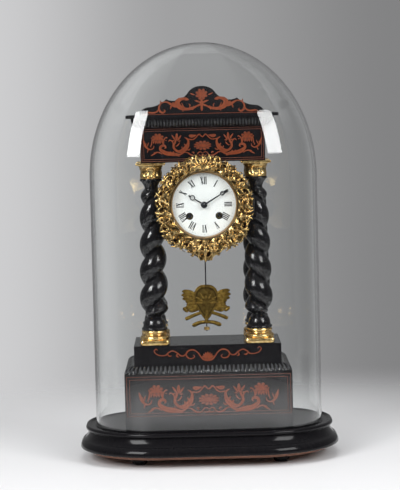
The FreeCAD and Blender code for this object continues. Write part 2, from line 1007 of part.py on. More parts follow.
def make_entablature():
    box = padded("frieze", "XY_Plane", rectangle(frieze_width, frieze_depth), s.frieze_height)
    hollow = new_sketch(box, "frieze_hollow", "XY_Plane", s.frieze_wall)
    wall = s.frieze_wall * 2
    draw_outline(hollow, rectangle(frieze_width - wall, frieze_depth - wall))
    pocket(box, hollow, s.frieze_height, backwards=True)
    bore_at_columns(box, "frieze_bores", rod_bore)
    place(box, 0, 0, frieze_z)
    keep(box, "entablature_box")

    spread = s.cornice_spread
    moulding = moulded_board(
        "cornice",
        frieze_width + spread * 2,
        frieze_depth + spread * 2,
        s.cornice_height,
        spread,
        True,
    )
    opening = new_sketch(moulding, "cornice_opening", "XY_Plane")
    draw_outline(opening, rectangle(frieze_width - wall, frieze_depth - wall))
    pocket(moulding, opening)
    place(moulding, 0, 0, cornice_z)
    keep(moulding, "cornice_moulding")

    slab = padded("slab", "XY_Plane", rectangle(slab_width, slab_depth), s.slab_thickness)
    place(slab, 0, 0, slab_z)
    keep(slab, "cornice_slab")


# Places along the crest's half outline, as shares of its half width and height
CREST_SHARES = {
    "toe": (1, 0.06),
    "shoulder": (0.87, 0.28),
    "ramp": (0.66, 0.41),
    "ear": (0.57, 0.56),
    "dip": (0.4, 0.51),
    "rise": (0.21, 0.8),
    "crown": (0, 1),
}


def make_crest():
    at = {
        name: (s.crest_half_width * across, s.crest_height * up)
        for name, (across, up) in CREST_SHARES.items()
    }
    tall = s.crest_height
    right = [
        at["toe"],
        at["shoulder"] + (tall * 0.38, 1),
        at["ramp"] + (tall * 0.9, -1),
        at["ear"] + (tall * 0.6, -1),
        at["dip"] + (tall * 0.5, -1),
        at["rise"] + (tall * 0.6, -1),
        at["crown"] + (tall * 0.6, 1),
    ]
    left = []
    for index in range(len(right) - 2, -1, -1):
        x, z = right[index][:2]
        left.append((-x, z) + right[index + 1][2:])
    outline = [(s.crest_half_width, as_size(0))] + right + left + [(-s.crest_half_width, as_size(0))]
    crest = padded("crest", "XZ_Plane", outline, s.crest_thickness, backwards=True)
    place(crest, 0, s.crest_setback - slab_depth / 2, crest_z)
    keep(crest, "crest_board")


# Drum case, its saddle and its rear cover

def make_drum():
    length = s.drum_front + s.drum_back
    outer = cylinder("drum_outer", s.drum_radius, -s.drum_front, length, z=dial_z)
    inner = cylinder(
        "drum_inner",
        s.drum_radius - s.drum_wall,
        -(s.drum_front + s.overrun),
        length + s.overrun * 2,
        z=dial_z,
    )
    tube = cut("drum_tube", outer, inner)
    slot = block(
        "drum_slot",
        s.slot_width,
        s.slot_length,
        s.drum_wall * 3,
        y=s.pendulum_plane,
        z=dial_z - s.drum_radius - s.drum_wall,
    )
    keep(cut("drum_slotted", tube, slot), "drum_case")

    blank = block(
        "saddle_blank",
        s.saddle_width,
        s.saddle_length,
        s.drum_radius,
        z=frieze_z - s.drum_radius,
    )
    cradle = cylinder(
        "saddle_cradle",
        s.drum_radius + s.saddle_play,
        -s.saddle_length,
        s.saddle_length * 2,
        z=dial_z,
    )
    keep(cut("saddle_shaped", blank, cradle), "drum_saddle")

    lid = cylinder("cover_disc", s.drum_radius, s.drum_back, s.cover_thickness, z=dial_z)
    knob = cylinder(
        "cover_knob",
        s.cover_knob_radius,
        s.drum_back,
        s.cover_thickness + s.cover_knob_radius,
        x=-(s.drum_radius * 0.7),
        z=dial_z,
    )
    keep(fused("cover", lid, knob), "rear_cover")


# Gilt bezel with its hinge, glass and sight ring

BEZEL_LOBES = 20
# How far the crest of the bezel and its pendant spread round the ring
CREST_SPREAD = 26
PENDANT_SPREAD = 22


def bezel_reach(angle):
    """The foliage's radius at an angle in degrees, counted from the right."""
    top = math.exp(-((angle - 90) / CREST_SPREAD) ** 2)
    bottom = math.exp(-((angle - 270) / PENDANT_SPREAD) ** 2)
    base = s.bezel_radius.value
    return base + (s.bezel_top.value - base) * top + (s.bezel_bottom.value - base) * bottom


def bezel_point(angle, radius):
    turn = math.radians(angle)
    return Vector(radius * math.cos(turn), 0, radius * math.sin(turn))


def bezel_outline(scale):
    """A scalloped outline: one arc over each lobe of the foliage."""
    step = 360 / BEZEL_LOBES
    lobe = s.bezel_lobe.value
    edges = []
    for index in range(BEZEL_LOBES):
        start = index * step
        valley = bezel_point(start, (bezel_reach(start) - lobe / 2) * scale)
        peak = bezel_point(start + step / 2, (bezel_reach(start + step / 2) + lobe / 2) * scale)
        following = (start + step) % 360
        end = bezel_point(following, (bezel_reach(following) - lobe / 2) * scale)
        edges.append(Part.Arc(valley, peak, end).toShape())
    return Part.Wire(edges)


def make_bezel():
    back = -(s.drum_front + s.bezel_gap)
    plate = s.bezel_plate.value
    depth = s.bezel_depth.value
    flange = Part.Face(bezel_outline(1)).extrude(Vector(0, -plate, 0))
    relief = Part.makeLoft(
        [
            translated(bezel_outline(1), -plate),
            translated(bezel_outline(0.93), -plate - depth * 0.3),
        ],
        True,
        True,
    )
    crown_low, crown_high = s.bezel_crown_radius.value, s.bezel_bore.value
    ring = Part.makeTorus((crown_low + crown_high) / 2, (crown_low - crown_high) / 2)
    ring.rotate(Vector(0, 0, 0), Vector(1, 0, 0), 90)
    ring.translate(Vector(0, -(depth - (crown_low - crown_high) / 2), 0))
    wall = Part.makeCylinder(
        crown_low,
        depth - (crown_low - crown_high) / 2,
        Vector(0, 0, 0),
        Vector(0, -1, 0),
    )
    bore = Part.makeCylinder(
        crown_high,
        depth + 2 * s.overrun.value,
        Vector(0, s.overrun.value, 0),
        Vector(0, -1, 0),
    )
    shape = flange.fuse([relief, ring, wall]).cut(bore)
    bezel = shaped("bezel_casting", shape.removeSplitter())
    place(bezel, 0, back, dial_z)
    keep(bezel, "bezel")

    ring_front = back - s.sight_ring_depth
    inner = s.bezel_bore - s.sight_ring_width
    sight = turned(
        "sight",
        [
            (inner, 0),
            (s.bezel_bore, 0),
            (s.bezel_bore, -s.sight_ring_depth),
            (inner + s.glass_thickness / 2, -s.sight_ring_depth),
            (inner, -(s.sight_ring_depth * 0.4)),
        ],
        "XY_Plane",
    )
    place(sight, 0, back, dial_z)
    keep(sight, "sight_ring")

    make_bezel_glass(ring_front - (s.glass_setback - s.sight_ring_depth))
    make_hinge(back)


def make_bezel_glass(rim_y):
    """A shallow glass cap: what a round tube cuts out of a thin ball."""
    bore, bulge, thick = s.bezel_bore, s.glass_bulge, s.glass_thickness
    bend = (bore * bore + bulge * bulge) / (bulge * 2)
    centre_y = rim_y + bend - bulge
    balls = {}
    for name, y in (("outer", centre_y - thick), ("inner", centre_y)):
        ball = doc.addObject("Part::Sphere", f"glass_{name}_ball")
        bind(ball, Radius=bend)
        place(ball, 0, y, dial_z)
        balls[name] = ball
    shell = cut("glass_shell", balls["outer"], balls["inner"])
    tube = cylinder("glass_tube", bore, rim_y - bulge - thick * 2, bulge + thick * 2, z=dial_z)
    cap = doc.addObject("Part::Common", "glass_cap")
    cap.Base, cap.Tool = shell, tube
    keep(cap, "bezel_glass")


def translated(shape, y):
    moved = shape.copy()
    moved.translate(Vector(0, y, 0))
    return moved


def make_hinge(back):
    """A leaf on the drum that carries the bezel's pin."""
    low = dial_z - s.hinge_height / 2
    hinge_y = back + s.hinge_barrel_radius + s.bezel_gap
    barrel = cylinder(
        "hinge_barrel_blank",
        s.hinge_barrel_radius,
        low,
        s.hinge_height,
        x=s.hinge_x,
        y=hinge_y,
        along="z",
    )
    leaf_length = s.hinge_x - s.drum_radius
    leaf = block(
        "hinge_leaf",
        leaf_length,
        s.hinge_leaf,
        s.hinge_height,
        x=s.drum_radius + leaf_length / 2,
        y=hinge_y,
        z=low,
    )
    bore = cylinder(
        "hinge_bore",
        s.hinge_pin_radius + s.hinge_play,
        low - s.overrun,
        s.hinge_height + s.overrun * 2,
        x=s.hinge_x,
        y=hinge_y,
        along="z",
    )
    keep(cut("hinge", fused("hinge_solid", barrel, leaf), bore), "bezel_hinge")

    pin_low = low - s.hinge_barrel_radius * 2
    pin = cylinder(
        "hinge_pin_rod",
        s.hinge_pin_radius,
        pin_low,
        s.hinge_height + s.hinge_barrel_radius * 4,
        x=s.hinge_x,
        y=hinge_y,
        along="z",
    )
    lugs = []
    lug_length = s.hinge_x + s.hinge_barrel_radius - s.hinge_lug_start
    for label, z in (("low", pin_low), ("high", low + s.hinge_height + s.bezel_gap)):
        lug_height = s.hinge_barrel_radius * 2 - s.bezel_gap
        lugs.append(
            block(
                f"hinge_lug_{label}",
                lug_length,
                s.hinge_barrel_radius * 2 + s.bezel_gap,
                lug_height,
                x=s.hinge_lug_start + lug_length / 2,
                y=hinge_y - s.bezel_gap / 2,
                z=z,
            )
        )
    keep(fused("hinge_pin", pin, *lugs), "bezel_hinge_pin")


# Dial and hands

def winding_places():
    return {
        "strike": (-s.winding_spread, dial_z - s.winding_drop),
        "going": (s.winding_spread, dial_z - s.winding_drop),
    }


def make_dial():
    blank = cylinder("dial_blank", s.dial_radius, dial_y, s.dial_thickness, z=dial_z)
    holes = [dial_hole("dial_eye", s.dial_eye_radius, dial_y, s.dial_thickness, 0, dial_z)]
    for name, (x, z) in winding_places().items():
        hole = dial_hole(f"dial_{name}_hole", s.winding_hole_radius, dial_y, s.dial_thickness, x, z)
        holes.append(hole)
    keep(cut("dial_drilled", blank, fused("dial_holes", *holes)), "dial")

    plate_y = dial_y + s.dial_thickness
    rim = s.drum_radius - s.drum_wall
    thick = s.dial_plate_thickness
    disc = cylinder("dial_plate_blank", rim, plate_y, thick, z=dial_z)
    holes = [dial_hole("plate_eye", s.dial_eye_radius, plate_y, thick, 0, dial_z)]
    for name, (x, z) in winding_places().items():
        hole = dial_hole(f"plate_{name}_hole", s.winding_hole_radius, plate_y, thick, x, z)
        holes.append(hole)
    keep(cut("dial_plate_drilled", disc, fused("plate_holes", *holes)), "dial_plate")

    posts = []
    post_y = plate_y + thick
    for index in range(4):
        turn = math.radians(45 + 90 * index)
        posts.append(
            cylinder(
                f"dial_foot_{index}",
                s.foot_post_radius,
                post_y,
                plate_front_y - post_y,
                x=s.foot_post_circle * math.cos(turn),
                z=dial_z + s.foot_post_circle * math.sin(turn),
            )
        )
    keep(grouped("dial_posts", posts), "dial_feet")


def dial_hole(name, radius, y, thickness, x, z):
    return cylinder(name, radius, y - s.overrun, thickness + s.overrun * 2, x=x, z=z)


def hand(name, length, ring_at, ring_radius, pipe_radius, angle, y):
    """A hub, a slim arm with a pierced ring, and a pointed tip."""
    thick = s.hand_thickness
    band = s.ring_band
    outline = [
        (-s.hand_tail_width / 2, 0),
        (s.hand_tail_width / 2, 0),
        (s.hand_tip_width / 2, length),
        (-s.hand_tip_width / 2, length),
    ]
    body = padded(f"{name}_blade", "XZ_Plane", outline, thick)
    disc = new_sketch(body, f"{name}_hub", "XZ_Plane")
    draw_circle(disc, 0, 0, s.hand_hub_radius)
    pad(body, disc, thick)
    loop = new_sketch(body, f"{name}_ring", "XZ_Plane")
    draw_circle(loop, 0, ring_at, ring_radius)
    pad(body, loop, thick)
    doc.recompute()
    holes = new_sketch(body, f"{name}_holes", "XZ_Plane")
    draw_circle(holes, 0, ring_at, ring_radius - band)
    draw_circle(holes, 0, 0, pipe_radius)
    pocket(body, holes)
    body.Placement.Rotation = Rotation(Vector(0, 1, 0), angle.value)
    place(body, 0, y, dial_z)
    keep(body, name)


def make_hands():
    hour_y = dial_y - s.hour_hand_gap
    minute_y = dial_y - s.minute_hand_gap
    hand(
        "hour_hand",
        s.hour_hand_length,
        s.hour_hand_ring,
        s.hour_ring_radius,
        s.hour_pipe_radius,
        s.hour_angle,
        hour_y,
    )
    hand(
        "minute_hand",
        s.minute_hand_length,
        s.minute_hand_ring,
        s.minute_ring_radius,
        s.minute_arbor_radius,
        s.minute_angle,
        minute_y,
    )
    front = minute_y - s.hand_thickness
    cap = cylinder("collet_cap", s.collet_radius, front - s.collet_height, s.collet_height, z=dial_z)
    hole = cylinder(
        "collet_hole",
        s.minute_arbor_radius,
        front - s.collet_height - s.overrun,
        s.collet_height + s.overrun * 2,
        z=dial_z,
    )
    keep(cut("collet", cap, hole), "hand_collet")


# Movement: plates, pillars, train, escapement and striking work

def polar(radius, degrees, z=None):
    turn = math.radians(degrees)
    return radius * math.cos(turn), (dial_z if z is None else z) + radius * math.sin(turn)


def meshing_point(first, first_reach, second, second_reach):
    """Where an arbor stands at given distances from two others, on the upper side."""
    ax, az = first
    bx, bz = second
    span = math.hypot(bx - ax, bz - az)
    along = (first_reach ** 2 - second_reach ** 2 + span ** 2) / (2 * span)
    off = math.sqrt(first_reach ** 2 - along ** 2)
    ux, uz = (bx - ax) / span, (bz - az) / span
    return ax + ux * along - uz * off, az + uz * along + ux * off


def wheel(name, radius, y, x, z):
    """A brass wheel with a rim, a hub and four crossings."""
    thick, band = s.wheel_thickness, s.spoke_width
    disc = cylinder(f"{name}_disc", radius, y, thick, x=x, z=z)
    window = dial_hole(f"{name}_window", radius - s.rim_band, y, thick, x, z)
    rim = cut(f"{name}_rim", disc, window)
    hub = cylinder(f"{name}_hub", s.wheel_hub_radius, y, thick, x=x, z=z)
    reach = radius * 2 - s.rim_band
    at = {"x": x, "y": y + thick / 2}
    across = block(f"{name}_arm_a", reach, thick, band, z=z - band / 2, **at)
    upright = block(f"{name}_arm_b", band, thick, reach, z=z - reach / 2, **at)
    return [rim, hub, across, upright]


def arbor_between_plates(name, radius, x, z):
    """An arbor with its shoulders just clear of both plates."""
    start = plate_inner_y + s.arbor_play
    return cylinder(name, radius, start, s.plate_distance - s.arbor_play * 2, x=x, z=z)


def make_movement():
    going = (s.winding_spread.value, dial_z.value - s.winding_drop.value)
    centre = (0.0, dial_z.value)
    play = s.mesh_play.value
    slow_share = s.slow_leaves.value / s.slow_teeth.value
    fast_share = s.fast_leaves.value / s.fast_teeth.value
    pinion = s.barrel_radius.value * slow_share
    centre_pinion = s.intermediate_radius.value * slow_share
    third_pinion = s.centre_radius.value * fast_share
    escape_pinion = s.third_radius.value * fast_share
    between_barrel = s.barrel_radius.value + pinion + play
    between_centre = s.intermediate_radius.value + centre_pinion + play
    intermediate = meshing_point(centre, between_centre, going, between_barrel)
    to_escape = s.third_radius.value + escape_pinion + play
    to_centre = s.centre_radius.value + third_pinion + play
    third = meshing_point(centre, to_centre, (0.0, escape_z.value), to_escape)

    make_plates()
    make_barrels()

    step = s.level_step
    barrel_end = plate_inner_y + s.level_step + s.barrel_width
    low_level = barrel_end + s.wheel_thickness

    x, z = intermediate
    members = wheel("intermediate", s.intermediate_radius, low_level, x, z)
    members.append(arbor_between_plates("intermediate_arbor", s.pivot_radius, x, z))
    leaves = s.pinion_length
    members.append(cylinder("intermediate_pinion", pinion, barrel_end - leaves, leaves, x=x, z=z))
    keep(fused("intermediate", *members), "intermediate_wheel")

    centre_level = low_level + step
    members = wheel("centre", s.centre_radius, centre_level, 0, dial_z)
    members.append(cylinder("centre_pinion", centre_pinion, low_level, step, z=dial_z))
    tip = dial_y - s.minute_hand_gap - s.hand_thickness - s.collet_height
    length = back_plate_y - s.arbor_play - tip
    members.append(cylinder("minute_arbor", s.minute_arbor_radius, tip, length, z=dial_z))
    keep(fused("centre", *members), "centre_wheel")

    third_level = centre_level + step
    x, z = third
    members = wheel("third", s.third_radius, third_level, x, z)
    members.append(arbor_between_plates("third_arbor", s.pivot_radius, x, z))
    start = centre_level - s.wheel_thickness
    members.append(cylinder("third_pinion", third_pinion, start, leaves, x=x, z=z))
    keep(fused("third", *members), "third_wheel")

    escape_level = plate_inner_y + s.level_step * 2
    members = wheel("escape", s.escape_radius, escape_level, 0, escape_z)
    members.append(arbor_between_plates("escape_arbor", escape_pinion, 0, escape_z))
    keep(fused("escape", *members), "escape_wheel")

    make_hour_wheel()
    make_anchor(escape_level)
    make_strike()


def make_plates():
    """Two round plates and the four pillars between them."""
    for name, y in (("front", plate_front_y), ("back", back_plate_y)):
        blank = cylinder(f"{name}_plate_blank", s.plate_radius, y, s.plate_thickness, z=dial_z)
        holes = []
        for side, (x, z) in winding_places().items():
            radius = s.arbor_radius + s.arbor_play
            holes.append(dial_hole(f"{name}_plate_{side}", radius, y, s.plate_thickness, x, z))
        if name == "front":
            radius = s.minute_arbor_radius + s.arbor_play
            holes.append(dial_hole("front_plate_eye", radius, y, s.plate_thickness, 0, dial_z))
        radius = s.pivot_radius + s.arbor_play
        holes.append(dial_hole(f"{name}_plate_anchor", radius, y, s.plate_thickness, 0, suspension_z))
        drilled = cut(f"{name}_plate_drilled", blank, fused(f"{name}_plate_holes", *holes))
        keep(drilled, f"{name}_plate")
    pillars = []
    angles = (
        s.pillar_upper_angle.value,
        180 - s.pillar_upper_angle.value,
        -s.pillar_lower_angle.value,
        180 + s.pillar_lower_angle.value,
    )
    for index, angle in enumerate(angles):
        x, z = polar(s.pillar_circle, angle)
        pillar = cylinder(f"pillar_{index}", s.pillar_radius, plate_inner_y, s.plate_distance, x=x, z=z)
        pillars.append(pillar)
    keep(grouped("pillars", pillars), "plate_pillars")


def make_barrels():
    """A spring barrel on each winding arbor, and the arbor that winds it."""
    for side, (x, z) in winding_places().items():
        start = plate_inner_y + s.level_step
        drum = cylinder(f"{side}_barrel_drum", s.barrel_radius, start, s.barrel_width, x=x, z=z)
        clear = s.arbor_radius + s.arbor_play
        bore = dial_hole(f"{side}_barrel_bore", clear, start, s.barrel_width, x, z)
        keep(cut(f"{side}_barrel_bored", drum, bore), f"{side}_barrel")
        front = dial_y + s.dial_thickness
        arbor = cylinder(
            f"{side}_arbor_rod",
            s.arbor_radius,
            front,
            back_plate_end_y - front,
            x=x,
            z=z,
        )
        keep(arbor, f"{side}_winding_arbor")


def make_hour_wheel():
    """The hour wheel and its pipe, which turns on the minute arbor."""
    start = dial_y - s.hour_hand_gap - s.hand_thickness
    end = plate_front_y - s.arbor_play
    pipe = cylinder("hour_pipe", s.hour_pipe_radius, start, end - start, z=dial_z)
    wheel_y = end - s.wheel_thickness
    disc = cylinder("hour_disc", s.escape_radius, wheel_y, s.wheel_thickness, z=dial_z)
    bore = cylinder(
        "hour_bore",
        s.minute_arbor_radius + s.arbor_play,
        start - s.overrun,
        plate_front_y - start + s.overrun,
        z=dial_z,
    )
    keep(cut("hour", fused("hour_solid", pipe, disc), bore), "hour_wheel")


def make_anchor(level):
    """The anchor with its arbor, and the crutch that leads the pendulum."""
    arbor_end = s.pendulum_plane - s.pendulum_rod_radius * 4
    arbor = cylinder(
        "anchor_arbor",
        s.pivot_radius,
        plate_front_y,
        arbor_end - plate_front_y,
        z=suspension_z,
    )
    reach = s.escape_radius + s.pallet_play + s.pivot_radius
    arm_z = suspension_z - s.pivot_radius
    arm_y = level + s.wheel_thickness / 2
    beam = block("anchor_beam", reach * 2, s.anchor_thickness, s.pivot_radius * 2, y=arm_y, z=arm_z)
    pallets = []
    drop = s.anchor_span - s.pivot_radius
    for label, side in (("left", -1), ("right", 1)):
        pallets.append(
            block(
                f"pallet_{label}",
                s.pivot_radius,
                s.anchor_thickness,
                drop,
                x=(reach - s.pivot_radius / 2) * side,
                y=arm_y,
                z=suspension_z - drop,
            )
        )
    crutch_y = arbor_end - s.crutch_radius
    crutch = cylinder(
        "crutch_rod",
        s.crutch_radius,
        suspension_z - s.crutch_length,
        s.crutch_length,
        y=crutch_y,
        along="z",
    )
    prongs = []
    apart = s.pendulum_rod_radius + s.fork_play + s.crutch_radius
    fork_z = suspension_z - s.crutch_length
    for label, side in (("left", -1), ("right", 1)):
        prongs.append(
            cylinder(
                f"fork_{label}",
                s.crutch_radius,
                crutch_y,
                s.pendulum_plane + s.pendulum_rod_radius - crutch_y,
                x=apart * side,
                z=fork_z,
            )
        )
    bridge = cylinder(
        "fork_bridge",
        s.crutch_radius,
        -apart,
        apart * 2,
        y=crutch_y,
        z=fork_z,
        along="x",
    )
    keep(fused("anchor", arbor, beam, crutch, bridge, *pallets, *prongs), "anchor_and_crutch")


def make_strike():
    """Pin wheel, hammer, and the bell on its stand."""
    strike_x, strike_z = -s.winding_spread.value, dial_z.value - s.winding_drop.value
    pinion = s.barrel_radius.value * s.slow_leaves.value / s.slow_teeth.value
    apart = s.barrel_radius.value + pinion + s.mesh_play.value
    turn = math.radians(100)
    x, z = strike_x + apart * math.cos(turn), strike_z + apart * math.sin(turn)
    barrel_end = plate_inner_y + s.level_step + s.barrel_width
    members = wheel("pin_wheel", s.pin_wheel_radius, barrel_end + s.wheel_thickness, x, z)
    members.append(arbor_between_plates("pin_wheel_arbor", s.pivot_radius, x, z))
    members.append(
        cylinder("pin_wheel_pinion", pinion, barrel_end - s.pinion_length, s.pinion_length, x=x, z=z)
    )
    keep(fused("pin_wheel", *members), "strike_pin_wheel")

    bell_z = dial_z - s.bell_drop
    wall = s.bell_wall
    outside, inside = s.bell_radius, s.bell_radius - wall
    bend = s.bell_radius * 1.02
    eye = s.stand_radius + s.arbor_play
    bell = turned(
        "bell",
        [
            (eye, s.bell_depth - wall),
            (inside, 0, bend - wall, -1),
            (outside, 0),
            (eye, s.bell_depth, bend, 1),
        ],
        "XY_Plane",
    )
    place(bell, 0, s.bell_front, bell_z)
    keep(bell, "bell")

    post_x, post_z = s.stand_offset_x, dial_z - s.stand_offset_z
    arm_y = s.bell_front + s.bell_depth * 0.6
    reach = arm_y - back_plate_end_y
    post = cylinder("stand_post", s.stand_radius, back_plate_end_y, reach, x=post_x, z=post_z)
    arm = doc.addObject("Part::Box", "stand_arm")
    rise = s.stand_offset_z - s.bell_drop
    length = math.hypot(post_x.value, rise.value)
    slope = math.degrees(math.atan2(rise.value, -post_x.value))
    bind(arm, Width=s.stand_radius, Height=s.stand_radius * 2)
    arm.Length = length
    arm.Placement.Rotation = Rotation(Vector(0, 1, 0), -slope)
    place(arm, post_x, arm_y - s.stand_radius, post_z)
    stud = cylinder(
        "stand_stud",
        s.stand_radius,
        arm_y - s.stand_radius,
        s.bell_front + s.bell_depth - arm_y + s.stand_radius * 2,
        z=bell_z,
    )
    keep(fused("stand", post, arm, stud), "bell_stand")

    pivot_x, pivot_z = -s.hammer_pivot_x, dial_z + s.hammer_pivot_z
    head_x = -(s.bell_radius + s.hammer_gap + s.hammer_head_radius)
    arbor = cylinder(
        "hammer_arbor",
        s.pivot_radius,
        back_plate_end_y + s.arbor_play,
        s.bell_front - back_plate_end_y,
        x=pivot_x,
        z=pivot_z,
    )
    arm = cylinder(
        "hammer_arm",
        s.pivot_radius,
        bell_z,
        pivot_z - bell_z,
        x=head_x,
        y=s.bell_front,
        along="z",
    )
    head = cylinder(
        "hammer_head",
        s.hammer_head_radius,
        s.bell_front - s.hammer_head_length / 2,
        s.hammer_head_length,
        x=head_x,
        z=bell_z,
    )
    keep(fused("hammer", arbor, arm, head), "strike_hammer")


# Pendulum and its suspension

def make_pendulum():
    cock_z = suspension_z + s.pivot_radius + s.suspension_gap
    cock = block(
        "cock",
        s.cock_width,
        s.pendulum_plane + s.spring_width / 2 - back_plate_end_y,
        s.cock_height,
        y=(s.pendulum_plane + s.spring_width / 2 + back_plate_end_y) / 2,
        z=cock_z,
    )
    keep(cock, "suspension_cock")

    spring = block(
        "spring",
        s.spring_thickness,
        s.spring_width,
        s.spring_length + s.pivot_radius,
        y=s.pendulum_plane,
        z=suspension_z - s.spring_length,
    )
    nut_room = s.rating_nut_height * 2
    bob_z = suspension_z - pendulum_length
    rod_low = bob_z - s.bob_height / 2 - nut_room
    rod = cylinder(
        "rod",
        s.pendulum_rod_radius,
        rod_low,
        suspension_z - s.spring_length / 2 - rod_low,
        y=s.pendulum_plane,
        along="z",
    )
    keep(fused("rod_solid", spring, rod), "pendulum_rod")
    make_bob(bob_z)
    nut = cylinder(
        "rating_nut_blank",
        s.rating_nut_radius,
        rod_low + s.rating_nut_height / 2,
        s.rating_nut_height,
        y=s.pendulum_plane,
        along="z",
    )
    bore = cylinder(
        "rating_nut_bore",
        s.pendulum_rod_radius,
        rod_low,
        s.rating_nut_height * 2,
        y=s.pendulum_plane,
        along="z",
    )
    keep(cut("rating_nut_drilled", nut, bore), "rating_nut")


def make_bob(bob_z):
    """A stamped trophy: an oval boss on a plate with wings and a ribbon bar."""
    body = new_body("bob")
    plate = new_sketch(body, "bob_plate", "XZ_Plane")
    wide, tall = s.bob_width / 2, s.bob_height / 2
    draw_outline(
        plate,
        [
            (wide * 0.35, -(tall * 0.55)),
            (wide, -(tall * 0.1), tall * 0.9, 1),
            (wide * 0.92, tall * 0.45),
            (wide * 0.4, tall * 0.35, wide * 0.6, -1),
            (0, tall, tall * 0.8, 1),
            (-(wide * 0.4), tall * 0.35, tall * 0.8, 1),
            (-(wide * 0.92), tall * 0.45, wide * 0.6, -1),
            (-wide, -(tall * 0.1)),
            (-(wide * 0.35), -(tall * 0.55), tall * 0.9, 1),
            (-(wide * 0.3), -tall, tall * 0.9, -1),
            (wide * 0.3, -tall, wide * 0.9, 1),
        ],
    )
    pad(body, plate, s.bob_thickness, symmetric=True)
    doc.recompute()
    hole = new_sketch(body, "bob_bore", "XY_Plane")
    draw_circle(hole, 0, 0, s.pendulum_rod_radius + s.hinge_play)
    pocket(body, hole)
    place(body, 0, s.pendulum_plane, bob_z)
    keep(body, "pendulum_bob")


make_feet()
make_underboard()
make_plinth()
make_dome()
make_base()
make_columns()
make_tie_rods()
make_entablature()
make_crest()
make_drum()
make_bezel()
make_dial()
make_hands()
make_movement()
make_pendulum()

doc.recompute()
faults = []
for item in doc.Objects:
    if "Invalid" in item.State or "Error" in item.State:
        faults.append(f"{item.Label}: {item.State}")
for part in parts:
    if part.Shape.isNull() or not part.Shape.isValid():
        faults.append(f"{part.Label}: no valid shape")
if faults:
    raise RuntimeError("\n".join(faults))

os.makedirs("parts", exist_ok=True)
for part in parts:
    part.Shape.exportStep(f"parts/{part.Label}.step")
print(f"{len(parts)} pieces written")
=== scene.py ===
import json
import math
import random

import bmesh
import bpy
import numpy as np
from mathutils import Matrix, Vector


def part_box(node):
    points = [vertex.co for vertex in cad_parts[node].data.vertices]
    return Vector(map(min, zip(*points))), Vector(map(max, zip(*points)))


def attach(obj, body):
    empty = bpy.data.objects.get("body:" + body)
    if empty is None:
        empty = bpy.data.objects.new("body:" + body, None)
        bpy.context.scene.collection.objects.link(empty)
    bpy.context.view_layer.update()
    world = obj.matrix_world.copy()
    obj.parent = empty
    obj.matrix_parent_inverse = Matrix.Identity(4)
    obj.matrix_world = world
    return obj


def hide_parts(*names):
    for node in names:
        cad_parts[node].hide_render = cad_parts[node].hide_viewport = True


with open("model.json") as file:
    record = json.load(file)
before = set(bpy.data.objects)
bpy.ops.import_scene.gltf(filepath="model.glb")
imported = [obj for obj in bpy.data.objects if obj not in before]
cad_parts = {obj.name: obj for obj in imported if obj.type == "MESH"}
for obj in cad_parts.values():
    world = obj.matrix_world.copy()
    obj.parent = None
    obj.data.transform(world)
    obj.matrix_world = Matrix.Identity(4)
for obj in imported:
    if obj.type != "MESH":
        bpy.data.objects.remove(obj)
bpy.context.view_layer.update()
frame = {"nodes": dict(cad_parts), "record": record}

# Lengths here are millimetres, and become metres when a mesh is made.
MM = 0.001


# Node materials

class Nodes:
    """Short calls that add nodes to a material's tree or to the world's."""

    def __init__(self, tree):
        self.tree = tree

    def node(self, kind, inputs=None, **settings):
        made = self.tree.nodes.new(kind)
        for key, value in settings.items():
            setattr(made, key, value)
        for key, value in (inputs or {}).items():
            self.put(made.inputs[key], value)
        return made

    def put(self, socket, value):
        if isinstance(value, bpy.types.NodeSocket):
            self.tree.links.new(value, socket)
        else:
            socket.default_value = value

    def ramp(self, factor, *stops, easing="LINEAR"):
        made = self.node("ShaderNodeValToRGB", {"Fac": factor})
        made.color_ramp.interpolation = easing
        marks = made.color_ramp.elements
        while len(marks) < len(stops):
            marks.new(0.5)
        for mark, (position, colour) in zip(marks, stops):
            mark.position = position
            mark.color = (*colour, 1)
        return made.outputs["Color"]

    def mix(self, factor, first, second):
        inputs = {"Factor": factor, "A": first, "B": second}
        return self.node("ShaderNodeMix", inputs, data_type="RGBA").outputs["Result"]

    def math(self, operation, first, second):
        return self.node("ShaderNodeMath", {0: first, 1: second}, operation=operation).outputs[0]


